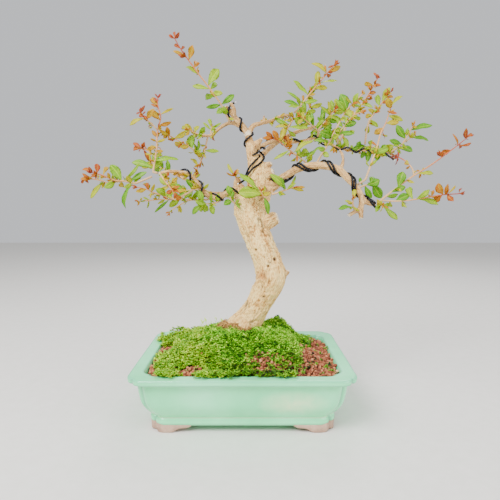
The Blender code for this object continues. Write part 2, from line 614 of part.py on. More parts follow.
SHOOTS = {
    "shoot_apex": (
        (((-21, 414, 9), (-33, 438, 4), (-51, 463, -4), (-66, 482, -10), (-83, 505, -16), (-92, 518, -20),
          (-100, 532, -24)),),
        ((0, 1.0, -109, 537, 4), (0, 1.0, -101, 543, 4), (0, 1.0, -93, 540, 5), (0, 0.88, -101, 524, 5),
         (0, 0.87, -85, 521, 4), (0, 0.76, -103, 514, 5), (0, 0.74, -74, 522, 9), (0, 0.65, -68, 500, 9),
         (0, 0.53, -84, 492, 6), (0, 0.42, -36, 489, 14), (0, 0.39, -75, 465, 7), (0, 0.38, -39, 470, 8),
         (0, 0.31, -57, 449, 9), (0, 0.34, -31, 454, 8), (0, 0.19, -13, 452, 9), (0, 0.19, -55, 433, 7),
         (0, 0.15, -39, 425, 9), (0, 0.07, -29, 435, 8), (0, 0.03, -14, 416, 5),),
    ),
    "shoot_left_upright": (
        (((-135, 339, -40), (-132, 357, -38), (-129, 374, -36), (-128, 394, -34), (-125, 408, -32),
          (-122, 420, -30), (-126, 436, -28), (-126, 448, -27)), ((-127, 401, -33), (-135, 409, -38),
          (-145, 418, -44), (-152, 426, -50)), ((-132, 360, -38), (-143, 371, -32), (-152, 374, -26)),),
        ((0, 0.89, -136, 448, 8), (0, 0.77, -103, 432, 4), (0, 0.69, -138, 430, 9), (1, 0.66, -132, 431, 8),
         (1, 0.7, -169, 408, 6), (1, 0.76, -154, 424, 5), (1, 0.96, -145, 436, 4), (0, 0.62, -106, 412, 6),
         (0, 0.58, -111, 393, 6), (0, 0.39, -116, 387, 4), (0, 0.4, -138, 388, 3), (0, 0.28, -120, 370, 5),
         (0, 0.2, -120, 365, 6), (2, 0.62, -132, 376, 6), (2, 1.0, -164, 383, 6), (2, 0.92, -147, 383, 5),
         (2, 0.99, -165, 371, 6), (2, 0.87, -141, 355, 5), (0, 0.05, -167, 354, 10), (0, 0.05, -121, 357, 12),
         (0, 0.14, -97, 359, 7),),
    ),
    "shoot_left_drop": (
        (((-53, 389, 20), (-56, 377, 18), (-60, 362, 14), (-68, 346, 8), (-71, 338, 4)),
         ((-68, 360, 6), (-74, 371, 2), (-85, 379, -6), (-105, 390, -16), (-116, 396, -22)),),
        ((0, 0.35, -36, 370, 6), (0, 0.3, -54, 377, 3), (0, 0.52, -72, 371, 7), (0, 0.58, -74, 382, 5),
         (0, 0.87, -71, 332, 9), (0, 0.79, -79, 360, 6),
         (1, 0.87, -113, 405, 7), (1, 0.77, -85, 399, 8), (1, 0.96, -119, 389, 6), (1, 0.58, -103, 380, 8),
         (1, 0.42, -94, 376, 7), (1, 0.32, -77, 394, 12), (1, 0.18, -66, 387, 5),),
    ),
    "shoot_left_upper": (
        (((-54, 393, 16), (-68, 395, 10), (-77, 399, 4), (-83, 402, -2)),),
        ((0, 0.69, -87, 409, 9), (0, 0.96, -92, 405, 6), (0, 0.6, -65, 407, 6), (0, 0.37, -57, 405, 7),
         (0, 0.5, -73, 389, 8),),
    ),
    "shoot_left_arch": (
        (((-48, 397, 24), (-47, 406, 26)),),
        ((0, 0.66, -51, 418, 6), (0, 0.44, -60, 412, 4), (0, 0.67, -33, 411, 4),),
    ),
    "shoot_left_tip": (
        (((-162, 322, -44), (-179, 326, -47), (-193, 327, -50), (-210, 334, -55), (-227, 339, -60)),
          ((-178, 325, -47), (-203, 323, -42), (-211, 326, -38), (-227, 329, -34), (-241, 329, -32)),),
        ((0, 1.0, -242, 343, 6), (0, 1.0, -231, 347, 5), (0, 0.88, -218, 352, 8), (0, 0.75, -201, 347, 6),
         (0, 0.32, -199, 350, 13), (0, 0.29, -155, 352, 5), (1, 0.19, -208, 316, 9), (0, 0.32, -183, 316, 9),
         (1, 0.51, -231, 300, 6), (1, 0.78, -246, 329, 6), (1, 0.78, -241, 337, 5), (0, 0.59, -203, 338, 5),
         (0, 0.07, -175, 333, 10), (0, 0.09, -179, 316, 6), (0, 0.04, -179, 285, 8), (0, 0.15, -145, 340, 8),
         (0, 0.04, -153, 334, 7),),
    ),
    "shoot_left_mid": (
        (((-102, 298, -30), (-116, 303, -34), (-136, 309, -40), (-143, 313, -44), (-160, 317, -48)),),
        ((0, 0.71, -150, 324, 6), (0, 0.61, -133, 321, 5), (0, 0.78, -161, 310, 6), (0, 0.24, -131, 314, 10),
         (0, 0.07, -118, 309, 9), (0, 0.61, -140, 300, 3),),
    ),
    "shoot_left_long": (
        (((-54, 298, -8), (-79, 298, -12), (-104, 298, -16), (-129, 298, -20), (-157, 295, -24)),),
        ((0, 0.84, -152, 302, 3), (0, 0.56, -134, 278, 5), (0, 0.63, -129, 292, 4), (0, 0.41, -112, 287, 9),
         (0, 0.42, -103, 309, 8), (0, 0.36, -78, 309, 7), (0, 0.26, -67, 312, 7),),
    ),
    "shoot_left_red": (
        (((-125, 337, -46), (-116, 324, -52), (-107, 312, -56), (-103, 306, -58)),),
        ((0, 0.58, -98, 332, 5), (0, 0.85, -85, 312, 5), (0, 0.18, -109, 329, 4), (0, 1.0, -94, 298, 8),
         (0, 0.81, -115, 308, 6),),
    ),
    "shoot_left_cluster": (
        (((-34, 297, -14), (-43, 293, -20), (-52, 292, -24), (-62, 291, -28)),),
        ((0, 0.76, -72, 296, 9), (0, 0.93, -68, 281, 8), (0, 0.58, -45, 276, 9), (0, 1.0, -77, 276, 8),
         (0, 0.82, -58, 278, 9), (0, 0.19, -37, 307, 7), (0, 1.0, -66, 312, 9), (0, 0.55, -48, 306, 5),),
    ),
    "shoot_snag": (
        (((-8, 327, -6), (-13, 334, -12)),),
        ((0, 0.87, -24, 352, 5), (0, 0.87, -8, 345, 4), (0, 0.87, -25, 338, 3),),
    ),
    "shoot_trunk_left": (
        (((-10, 291, -20), (-18, 297, -27), (-21, 307, -29)),),
        ((0, 0.8, -24, 319, 10), (0, 0.49, -29, 291, 9), (0, 0.38, -16, 311, 9),),
    ),
    "shoot_crotch": (
        (((33, 300, -24), (28, 307, -30), (26, 311, -31)),),
        ((0, 0.93, -5, 339, 9), (0, 0.64, -8, 309, 17), (0, 0.73, 33, 319, 5), (0, 0.49, 41, 308, 6),
         (0, 0.21, 38, 276, 8),),
    ),
    "shoot_crotch_right": (
        (((44, 306, -26), (65, 313, -32), (77, 317, -36)),),
        ((0, 0.61, 40, 336, 10), (0, 0.64, 78, 323, 5), (0, 0.7, 79, 334, 4), (0, 0.49, 57, 331, 4),
         (0, 0.97, 93, 317, 4), (0, 0.79, 91, 311, 5),),
    ),
    "shoot_right_top": (
        (((81, 432, 60), (91, 444, 60), (98, 453, 56), (111, 468, 50), (122, 481, 46), (135, 496, 40)),),
        ((0, 0.77, 100, 497, 7), (0, 0.81, 143, 492, 8), (0, 0.78, 128, 477, 8), (0, 0.78, 119, 495, 3),
         (0, 0.51, 110, 486, 9), (0, 0.3, 74, 473, 7), (0, 0.57, 139, 473, 6), (0, 0.47, 124, 461, 8),
         (0, 0.24, 107, 465, 9), (0, 0.12, 64, 456, 5), (0, 0.23, 104, 445, 6), (0, 0.1, 110, 444, 6),
         (0, 0.05, 67, 435, 6), (0, 0.05, 78, 449, 6), (0, 0.03, 93, 425, 8), (0, 0.05, 60, 443, 7),),
    ),
    "shoot_right_hang": (
        (((72, 421, 54), (74, 417, 44), (69, 409, 34), (65, 401, 28), (62, 392, 24)),),
        ((0, 0.33, 65, 414, 9), (0, 0.05, 72, 427, 9), (0, 0.57, 47, 418, 7), (0, 0.71, 47, 405, 6),
         (0, 0.66, 97, 405, 7), (0, 0.75, 79, 391, 6), (0, 0.78, 55, 391, 8), (0, 0.95, 59, 404, 8),
         (0, 0.97, 67, 384, 6), (0, 1.0, 52, 382, 5),),
    ),
    "shoot_right_orange": (
        (((97, 351, -20), (91, 355, -22), (72, 369, -28), (52, 385, -34), (44, 388, -36)),),
        ((0, 1.0, 29, 389, 6), (0, 1.0, 34, 398, 6), (0, 0.86, 44, 400, 8), (0, 0.83, 60, 404, 7),
         (0, 0.54, 45, 358, 5), (0, 0.44, 104, 387, 7), (0, 0.3, 96, 373, 12), (0, 0.21, 80, 376, 7),
         (0, 0.11, 116, 378, 7), (0, 0.04, 102, 365, 7), (0, 0.65, 72, 386, 6),),
    ),
    "shoot_right_arch": (
        (((112, 398, 58), (107, 403, 54), (97, 411, 44), (85, 421, 34)),),
        ((0, 0.56, 101, 422, 9), (0, 0.76, 86, 427, 7), (0, 0.32, 101, 426, 7), (0, 0.2, 119, 415, 6),
         (0, 0.88, 81, 410, 6),),
    ),
    "shoot_right_long": (
        (((112, 357, -40), (127, 382, -42), (138, 403, -44), (151, 427, -46), (161, 438, -47),
          (176, 453, -48)),),
        ((0, 0.71, 143, 453, 15), (0, 0.68, 137, 444, 8), (0, 0.73, 160, 420, 8), (0, 0.83, 169, 454, 7),
         (0, 0.82, 151, 447, 4), (0, 0.33, 114, 398, 13), (0, 0.3, 125, 405, 10), (0, 0.33, 142, 393, 10),
         (0, 0.25, 105, 386, 6), (0, 0.11, 127, 362, 8), (0, 0.17, 112, 373, 7),),
    ),
    "shoot_right_white": (
        (((112, 402, 76), (124, 416, 74), (139, 435, 70)),),
        ((0, 0.6, 114, 436, 6), (0, 0.6, 125, 443, 5), (0, 0.93, 140, 444, 8), (0, 0.5, 150, 428, 4),
         (0, 0.27, 130, 412, 8),),
    ),
    "shoot_right_inner": (
        (((140, 392, 30), (147, 403, 28), (162, 421, 22), (176, 427, 18)),),
        ((0, 0.32, 168, 412, 9), (0, 0.11, 165, 396, 8), (0, 0.42, 152, 421, 8), (0, 0.29, 138, 418, 7),
         (0, 0.17, 135, 401, 9), (0, 0.75, 159, 427, 7), (0, 0.71, 174, 415, 6),),
    ),
    "shoot_right_rise": (
        (((152, 405, 60), (162, 421, 56), (173, 436, 52), (185, 453, 48), (198, 476, 42)),),
        ((0, 0.85, 177, 467, 7), (0, 0.87, 202, 465, 5), (0, 0.46, 162, 444, 5), (0, 0.48, 191, 434, 6),
         (0, 0.49, 184, 442, 4), (0, 0.22, 154, 427, 9), (0, 0.26, 175, 428, 5),),
    ),
    "shoot_right_yellow": (
        (((183, 400, 50), (187, 415, 46), (194, 425, 42), (204, 439, 36), (217, 456, 30)),),
        ((0, 0.62, 198, 453, 9), (0, 0.71, 216, 463, 9), (0, 0.38, 180, 420, 8), (0, 0.47, 185, 431, 6),
         (0, 0.26, 200, 405, 6), (0, 0.14, 184, 395, 8), (0, 0.84, 222, 449, 5),),
    ),
    "shoot_right_tall": (
        (((183, 328, -66), (188, 343, -62), (198, 373, -54), (204, 396, -48), (212, 413, -44),
          (217, 433, -40)),),
        ((0, 0.99, 212, 447, 11), (0, 0.99, 235, 451, 6), (0, 0.95, 227, 425, 4), (0, 0.89, 237, 414, 7),
         (0, 0.78, 231, 412, 8), (0, 0.72, 194, 395, 14), (0, 0.62, 215, 391, 3), (0, 0.35, 217, 374, 9),),
    ),
    "shoot_middle_leaves": (
        (((175, 373, 52), (187, 377, 48), (201, 374, 42), (217, 373, 36)),),
        ((0, 0.22, 162, 373, 10), (0, 0.37, 185, 354, 9), (0, 0.14, 176, 359, 8), (0, 0.63, 194, 359, 9),
         (0, 0.74, 198, 355, 8), (0, 0.88, 224, 378, 9), (0, 1.0, 206, 362, 8), (0, 0.39, 188, 386, 8),
         (0, 0.05, 170, 384, 8),),
    ),
    "shoot_right_pair": (
        (((222, 370, 26), (236, 380, 18), (245, 395, 12), (252, 408, 6)), ((238, 382, 18), (247, 388, 26),
          (254, 396, 30)),),
        ((0, 0.81, 281, 409, 8), (0, 0.53, 227, 408, 11), (1, 0.67, 276, 386, 6), (0, 0.25, 224, 382, 10),
         (0, 0.16, 253, 370, 9), (0, 0.35, 218, 386, 8), (0, 0.93, 257, 405, 4),),
    ),
    "shoot_far_right": (
        (((203, 294, -78), (227, 313, -72), (254, 333, -66), (281, 350, -60), (308, 370, -54),
          (332, 389, -48)),
         ((208, 296, -79), (236, 296, -84), (269, 300, -88), (297, 305, -92), (326, 307, -95)),),
        ((0, 0.22, 239, 340, 12), (0, 0.32, 256, 323, 4), (0, 0.43, 285, 338, 6), (0, 0.39, 258, 342, 4),
         (0, 0.81, 294, 366, 9), (0, 0.89, 311, 395, 3), (0, 0.89, 340, 382, 4), (0, 0.99, 331, 403, 6),
         (0, 1.0, 343, 395, 6), (0, 0.14, 244, 317, 8), (0, 0.09, 233, 306, 6),
         (1, 0.19, 250, 305, 10), (1, 0.41, 247, 317, 9), (1, 0.45, 280, 313, 7), (1, 0.47, 295, 291, 6),
         (1, 0.79, 292, 322, 13), (1, 0.78, 288, 296, 9), (1, 0.81, 307, 321, 5), (1, 0.84, 320, 320, 3),
         (1, 0.84, 316, 296, 7), (1, 0.12, 222, 286, 6),),
    ),
    "shoot_right_curl": (
        (((176, 317, -72), (185, 320, -64), (195, 321, -58)),),
        ((0, 0.49, 205, 327, 13), (0, 1.0, 208, 300, 13), (0, 0.36, 193, 300, 8), (0, 0.21, 174, 332, 5),
         (0, 0.79, 195, 333, 8),),
    ),
    "shoot_stub": (
        (((167, 285, -80), (165, 291, -84), (165, 300, -87)),),
        ((0, 0.23, 144, 285, 6), (0, 0.93, 168, 314, 6), (0, 0.48, 157, 293, 4),),
    ),
    "shoot_under_right": (
        (((206, 291, -76), (211, 288, -74)),),
        ((0, 0.76, 234, 268, 8), (0, 0.47, 220, 291, 7), (0, 0.24, 200, 280, 6),),
    ),
}
BACK_SHOOTS = {
    "shoot_back_left": (((-104, 336, 102), (-122, 346, 110), (-138, 354, 112)), 4),
    "shoot_back_low": (((-66, 314, 74), (-88, 312, 92), (-112, 318, 104)), 4),
    "shoot_back_right": (((108, 406, 112), (124, 418, 118), (138, 432, 122)), 5),
    "shoot_back_high": (((80, 398, 92), (86, 416, 104), (98, 434, 112)), 5),
    "shoot_back_far": (((96, 402, 103), (124, 397, 104), (148, 392, 98)), 5),
}
DODGES = (0, 6, -6, 12, -12, 18, -18, 26, -26)


def straightened(route, joints):
    """The route drawn straight from joint to joint, with as many points as before."""
    steps = range(len(route))
    return np.array([np.interp(steps, joints, route[joints, column]) for column in range(4)]).T


def jointed(route):
    """A smooth route drawn straight from joint to joint, a point each millimetre, and where its joints are."""
    joints = np.linspace(0, len(route) - 1, max(2, round(len(route) / STEM_STEP) + 1)).round().astype(int)
    return straightened(route, joints), list(joints)


def stem_routes(stems, dodge):
    """Jointed routes of a shoot's stems. A dodge moves all but the foot back."""
    routes = []
    for number, knots in enumerate(stems):
        thick = SHOOT_RADIUS if number == 0 else 0.75 * SHOOT_RADIUS
        row = []
        for i, (across, up, back) in enumerate(knots):
            part = i / (len(knots) - 1)
            share = min(1.0, 2.5 * part) if number == 0 else 1.0
            row.append((*spot(across, up, back + dodge * share), thick + (TIP_RADIUS - thick) * part))
        if number:
            main = routes[0][0]
            start = main[np.argmin(np.linalg.norm(main[:, :3] - row[0][:3], axis=1))]
            row[0] = (*start[:3], thick)
        routes.append(jointed(curve_through(row, 1.0)))
    return routes


def leaf_tries(base, leaf, rng):
    """Six ways to hold a leaf whose tip shows at one place from the front: (base, tip, normal, width, bend)."""
    across, up, width = leaf[2:]
    back = base.y - TRUNK_PLANE
    front = (spot(across, up, back) - base).length
    tries = []
    for k in range(6):
        length = rng.uniform(15, 24)
        side = 1 if rng.random() < 0.5 else -1
        bend = rng.uniform(-0.03, 0.1)
        turn = rng.uniform(-0.3, 0.3)
        reach = min(math.sqrt(max(0.0, length**2 - front**2)), 0.8 * front + 2) * (1 - 0.25 * (k // 2))
        tip = spot(across, up, back + side * (-1) ** k * reach)
        along = (tip - base).normalized()
        full = width if width <= 5 else max(width, 0.3 * (tip - base).length)
        tilt = math.acos(min(1.0, width / full)) + turn
        view = (EYE - base).normalized()
        view = (view - along * view.dot(along)).normalized()
        rise = along.cross(view)
        if rise.z < 0:
            rise = -rise
        tries.append((base, tip, math.cos(tilt) * view + math.sin(tilt) * rise, full, bend))
    return tries


LEAF_STATIONS = ((0.4, 0.82, 1.0), (0.76, 0.92, 0.9))


def leaf_shape(base, tip, normal, width, bend, grow=0.0):
    """Points and faces of a leaf: broadest past its middle, flat above and keeled below."""
    length = (tip - base).length
    along = (tip - base) / length
    side = along.cross(normal)
    points = [base - along * grow]
    for share, half, thick in LEAF_STATIONS:
        middle = base + (tip - base) * share + normal * (bend * length * 4 * share * (1 - share))
        reach = half * width / 2 + grow
        points.append(middle - side * reach + normal * (0.3 + grow))
        points.append(middle + side * reach + normal * (0.3 + grow))
        points.append(middle - normal * (BLADE_THICK * thick - 0.3 + grow))
    points.append(tip + along * grow)
    faces = []
    for i, j in ((1, 2), (2, 3), (3, 1)):
        faces.extend(((0, j, i), (i, j, j + 3), (i, j + 3, i + 3), (i + 3, j + 3, 7)))
    return [tuple(p) for p in points], faces


def paired_leaves(stems, pairs, rng):
    """Leaves in opposite pairs up a stem, in the form that the table of shoots uses."""
    knots = stems[0]
    leaves = []
    for i in range(pairs):
        share = 0.2 + 0.8 * i / (pairs - 1)
        at = share * (len(knots) - 1)
        low = min(int(at), len(knots) - 2)
        across, up = (knots[low][c] + (knots[low + 1][c] - knots[low][c]) * (at - low) for c in (0, 1))
        heading = math.atan2(knots[low + 1][1] - knots[low][1], knots[low + 1][0] - knots[low][0])
        for side in (-1, 1):
            angle = heading + side * rng.uniform(0.5, 1.1)
            length = rng.uniform(13, 20)
            leaves.append((0, share, across + length * math.cos(angle), up + length * math.sin(angle), 8))
    return leaves


def crosses(shape, trees):
    tree = BVHTree.FromPolygons(*shape)
    return any(tree.overlap(other) for other in trees)


def stem_shape(route, joints, grow=0.0):
    return tube_shape(grown(route[joints], grow), 4)


def comes_clear(row, ahead, wood):
    """Whether a stem that starts at this point and heads for the next joint has its end clear of the wood."""
    centre = Vector(row[:3])
    tangent = (Vector(ahead[:3]) - centre).normalized()
    across = tangent.orthogonal().normalized()
    for corner in range(8):
        spoke = Matrix.Rotation(math.pi * corner / 4, 3, tangent) @ across
        point = centre + spoke * float(row[3])
        found, normal, _, away = wood.find_nearest(point)
        if away < STEM_GAP or (point - found).dot(normal) < 0:
            return False
    return True


def trimmed(route, joints, wood):
    """The stem from where it comes clear of the wood, or led to the wood where it starts short of it."""
    start = Vector(route[0][:3])
    found, normal, _, away = wood.find_nearest(start)
    if (start - found).dot(normal) > 0 and away > 1.0:
        lead = [(*found.lerp(start, t / away), route[0][3]) for t in np.arange(0.0, away, 1.0)]
        route = np.vstack([lead, route])
        joints = [joint + len(lead) for joint in joints]
    first = 0
    for i in range(round(0.7 * len(route))):
        ahead = route[min((joint for joint in joints if joint > i + 3), default=joints[-1])]
        if not comes_clear(route[i], ahead, wood):
            first = i + 1
    route = route.copy()
    ahead = route[min((joint for joint in joints if joint > first + 3), default=joints[-1])]
    for part in (0.2, 0.4, 0.6, 0.8):
        nearer = route[first - 1] + part * (route[first] - route[first - 1])
        if first and comes_clear(nearer, ahead, wood):
            route[first] = nearer
            break
    joints = [first, *(joint for joint in joints if joint > first + 3)]
    return straightened(route, joints), joints


def make_shoot(name, stems, leaves, wood, others, look):
    """One leafy shoot: stems, and leaves that cross nothing, joined in one piece. It is bent clear of the rest.

    A leaf that crosses something however it is held is left out.
    """
    world = [wood, *others]
    for dodge in DODGES:
        routes = stem_routes(stems, dodge)
        shown = [trimmed(*routes[0], wood), *routes[1:]]
        if not any(crosses(stem_shape(*stem, 0.15), world) for stem in shown):
            break
    rng = random.Random(name)
    blades = []
    kept = []
    for leaf in leaves:
        full = len(routes[leaf[0]][0])
        route, joints = shown[leaf[0]]
        at = len(route) - full + round(leaf[1] * (full - 1))
        tries = leaf_tries(Vector(route[min(max(at, joints[0] + 2), len(route) - 3)][:3]), leaf, rng)
        clear = [held for held in tries if not crosses(leaf_shape(*held, GAP), world)]
        if not clear:
            continue
        apart = [held for held in clear if not crosses(leaf_shape(*held), blades)]
        held = (apart or clear)[0]
        base, tip, normal, width, bend = held
        outer = base.lerp(tip, 0.3)
        blades.append(BVHTree.FromPolygons(*leaf_shape(outer, tip, normal, width, bend)))
        kept.append(leaf_shape(*held))
    parts = [mesh_object(name, *stem_shape(*stem)) for stem in shown]
    parts += [mesh_object("blade", *shape) for shape in kept]
    shoot = parts[0]
    shoot.name = name
    shoot.data.materials.append(look)
    boolean_all(shoot, parts[1:], "UNION")
    shapes = [stem_shape(*stem) for stem in shown] + kept
    return shoot, [BVHTree.FromPolygons(*shape) for shape in shapes]


def tree_of(obj):
    """A search tree of an object's surface, in millimetres."""
    points = [v.co / MM for v in obj.data.vertices]
    return BVHTree.FromPolygons(points, [tuple(f.vertices) for f in obj.data.polygons])


def centre_all():
    """Holds every piece on one empty, moved so that the world's origin is under the middle of the object."""
    nodes = [obj for obj in bpy.data.objects if obj.type == "MESH"]
    corners = np.array([v.co[:2] for obj in nodes for v in obj.data.vertices])
    middle = (corners.min(axis=0) + corners.max(axis=0)) / 2
    bonsai = bpy.data.objects.new("bonsai", None)
    bonsai.location = (-middle[0], -middle[1], 0.0)
    bpy.context.scene.collection.objects.link(bonsai)
    for obj in nodes:
        obj.parent = bonsai
        obj.data.shade_smooth()
        obj.data.set_sharp_from_angle(angle=math.radians(40))


def main():
    clear_scene()
    glaze = finish("celadon_glaze", (0.52, 0.78, 0.66), 0.25)
    bark = finish("pale_bark", (0.62, 0.49, 0.34), 0.85)
    earth = finish("red_granules", (0.34, 0.16, 0.11), 0.95)
    lime = finish("leaf_lime", (0.45, 0.62, 0.12), 0.55)
    moss_green = finish("moss_green", (0.13, 0.3, 0.05), 0.9)
    wire_black = finish("black_aluminium", (0.02, 0.02, 0.02), 0.4, 0.9)
    plastic = finish("black_plastic", (0.03, 0.03, 0.03), 0.6)
    make_pot(glaze)
    make_drain_screen("drain_screen_left", -DRAIN_X, plastic)
    make_drain_screen("drain_screen_right", DRAIN_X, plastic)
    rows = soil_surface(ground_grid())
    feet = ["trunk", *ROOTS]

    def holes():
        return [mesh_object("hole", *shape) for shape in wood_shapes(GAP, feet).values()]

    make_soil(rows, holes(), earth)
    make_cover("moss", rows, moss_height, holes(), 23, moss_green)
    make_cover("creeping_plants", rows, creeper_height, [], 29, lime)
    wires = {name: wire_route(*spec) for name, spec in WIRES.items()}
    shapes = {name: tube_shape(route, WIRE_SIDES) for name, route in wires.items()}
    for name, shape in shapes.items():
        mesh_object(name, *shape, wire_black)
    trunk = make_trunk(wires, bark)
    wood = tree_of(trunk)
    others = [BVHTree.FromPolygons(*shape) for shape in shapes.values()]
    specs = dict(SHOOTS)
    for name, (knots, pairs) in BACK_SHOOTS.items():
        specs[name] = ((knots,), paired_leaves((knots,), pairs, random.Random(name)))
    for name, (stems, leaves) in specs.items():
        _, trees = make_shoot(name, stems, leaves, wood, others, lime)
        others.extend(trees)
    centre_all()


main()
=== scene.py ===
"""A pomegranate bonsai in its celadon pot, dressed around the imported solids.

Places are worked out in millimetres from the middle of the pot's foot: X to the right, Y to the back, Z up.
"""

import math
import random

import bmesh
import bpy
import numpy as np
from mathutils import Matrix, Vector


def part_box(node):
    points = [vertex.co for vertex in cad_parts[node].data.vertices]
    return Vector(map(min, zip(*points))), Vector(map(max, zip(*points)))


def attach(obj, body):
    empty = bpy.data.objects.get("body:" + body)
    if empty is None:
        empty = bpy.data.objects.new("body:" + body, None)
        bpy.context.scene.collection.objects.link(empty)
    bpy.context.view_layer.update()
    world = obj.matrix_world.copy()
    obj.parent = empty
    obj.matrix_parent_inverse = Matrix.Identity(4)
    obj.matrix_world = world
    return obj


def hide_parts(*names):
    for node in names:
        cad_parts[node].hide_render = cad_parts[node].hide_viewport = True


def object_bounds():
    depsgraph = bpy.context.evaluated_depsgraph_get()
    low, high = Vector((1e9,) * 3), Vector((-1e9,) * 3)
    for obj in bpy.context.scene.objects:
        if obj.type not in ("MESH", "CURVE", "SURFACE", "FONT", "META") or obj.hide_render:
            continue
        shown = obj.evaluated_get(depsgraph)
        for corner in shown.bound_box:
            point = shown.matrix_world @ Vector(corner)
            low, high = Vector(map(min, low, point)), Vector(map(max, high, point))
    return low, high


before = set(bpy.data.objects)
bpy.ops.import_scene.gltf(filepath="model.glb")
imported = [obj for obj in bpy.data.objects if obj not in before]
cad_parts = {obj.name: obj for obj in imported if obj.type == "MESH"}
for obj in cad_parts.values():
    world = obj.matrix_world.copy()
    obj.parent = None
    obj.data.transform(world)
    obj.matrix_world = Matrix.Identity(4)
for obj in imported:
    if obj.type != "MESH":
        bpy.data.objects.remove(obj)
cad_box = [list(corner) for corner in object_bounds()]


# The pot: a low rectangle of stoneware with indented corners, thrown over with a celadon glaze and fired.
# Its wall is one closed skin: the outline of the rim, drawn in as the wall's profile says, from the middle of
# the underside up round the lip and down to the middle of the floor. Two drain holes are bored through.

MM = 0.001
RIM_HALF = np.array([150.0, 117.0])
NOTCH_RUN, NOTCH_DEPTH = 24.0, 8.0
NOTCH_RADIUS = (NOTCH_DEPTH**2 + (NOTCH_RUN - NOTCH_DEPTH) ** 2) / (2 * NOTCH_DEPTH)
CORNER_POINTS, SIDE_STEPS, END_STEPS, CREASE_REACH = 21, 60, 46, 1.1
DRAIN_X, DRAIN_RADIUS = 62.0, 10.0
low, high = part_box("pot")
POT_MIDDLE = np.array([low.x + high.x, low.y + high.y, 0.0]) / 2 / MM


def linear(code):
    """A colour from its sRGB hex code: each channel to the power that undoes the screen's curve."""
    channels = [int(code[i : i + 2], 16) / 255 for i in (0, 2, 4)]
    return (*(c / 12.92 if c <= 0.04045 else ((c + 0.055) / 1.055) ** 2.4 for c in channels), 1.0)


def add(tree, kind, inputs, stops=(), **settings):
    """Adds a shader node. An input is a value, or the socket that it is linked from."""
    made = tree.nodes.new(kind)
    for name, value in settings.items():
        setattr(made, name, value)
    for name, value in inputs.items():
        if isinstance(value, bpy.types.NodeSocket):
            tree.links.new(value, made.inputs[name])
        else:
            made.inputs[name].default_value = value
    for number, (place, code) in enumerate(stops):
        ramp = made.color_ramp.elements
        stop = ramp[number] if number < len(ramp) else ramp.new(place)
        stop.position, stop.color = place, linear(code)
    return made


def new_look(name, **values):
    """A material of one Principled shader, with the values that hold all over its surface."""
    look = bpy.data.materials.new(name)
    look.use_nodes = True
    for socket, value in values.items():
        look.node_tree.nodes["Principled BSDF"].inputs[socket.replace("_", " ")].default_value = value
    return look, look.node_tree, look.node_tree.nodes["Principled BSDF"]


def piece(name, points, faces, looks, nodes, marks=None, look_of=None):
    """Puts points (in millimetres) and triangles or quads into a smooth mesh that stands for CAD nodes."""
    points, faces = np.asarray(points, float), np.asarray(faces)
    mesh = bpy.data.meshes.new(name)
    mesh.vertices.add(len(points))
    mesh.vertices.foreach_set("co", ((points + POT_MIDDLE) * MM).astype(np.float32).ravel())
    mesh.loops.add(faces.size)
    mesh.loops.foreach_set("vertex_index", faces.astype(np.int32).ravel())
    mesh.polygons.add(len(faces))
    mesh.polygons.foreach_set("loop_start", np.arange(0, faces.size, faces.shape[1], dtype=np.int32))
    for look in looks:
        mesh.materials.append(look)
    if look_of is not None:
        mesh.polygons.foreach_set("material_index", np.asarray(look_of, np.int32))
    mesh.update(calc_edges=True)
    mesh.shade_smooth()
    for mark, values in (marks or {}).items():
        kind = "FLOAT_VECTOR" if np.ndim(values) == 2 else "FLOAT"
        field = mesh.attributes.new(mark, kind, "POINT")
        socket = "vector" if kind == "FLOAT_VECTOR" else "value"
        field.data.foreach_set(socket, np.ravel(values).astype(np.float32))
    made = bpy.data.objects.new(name, mesh)
    bpy.context.scene.collection.objects.link(made)
    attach(made, "root")
    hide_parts(*nodes)
    return made


def skin(rows, columns, start=0):
    """Triangles of the closed skin over rows of rings: a pair for each cell, and a fan at either end, whose
    middle points are the first and the last."""
    i, j = np.meshgrid(np.arange(rows - 1), np.arange(columns), indexing="ij")
    a, b = 1 + i * columns + j, 1 + i * columns + (j + 1) % columns
    cells = np.stack([a, b, b + columns, a, b + columns, a + columns], -1).reshape(-1, 3)
    j = np.arange(columns)
    k = (j + 1) % columns
    last = 1 + (rows - 1) * columns
    first_fan = np.stack([np.zeros_like(j), 1 + k, 1 + j], -1)
    last_fan = np.stack([np.full_like(j, rows * columns + 1), last + j, last + k], -1)
    return np.vstack([first_fan, cells, last_fan]) + start


def smooth_line(knots, step):
    """Points about a step apart on a Catmull-Rom curve: each stretch is the cubic of its four knots."""
    k = np.array(knots, float)
    k = np.vstack([2 * k[0] - k[1], k, 2 * k[-1] - k[-2]])
    found = []
    for a, b, c, d in zip(k, k[1:], k[2:], k[3:]):
        t = np.arange(pieces := max(1, round(np.linalg.norm((c - b)[:3]) / step)))[:, None] / pieces
        cubic = 2 * b + (c - a) * t + (2 * a - 5 * b + 4 * c - d) * t**2 + (3 * b - a - 3 * c + d) * t**3
        found.append(0.5 * cubic)
    return np.vstack([*found, k[-2]])


def softened(line, reach):
    """A line of evenly spaced rows averaged under a bell curve of this many rows, its ends held."""
    offsets = np.arange(-math.ceil(3 * reach), math.ceil(3 * reach) + 1)
    bell = np.exp(-0.5 * (offsets / reach) ** 2)
    at = np.clip(np.arange(len(line))[:, None] + offsets, 0, len(line) - 1)
    return np.einsum("k,nkd->nd", bell / bell.sum(), line[at])


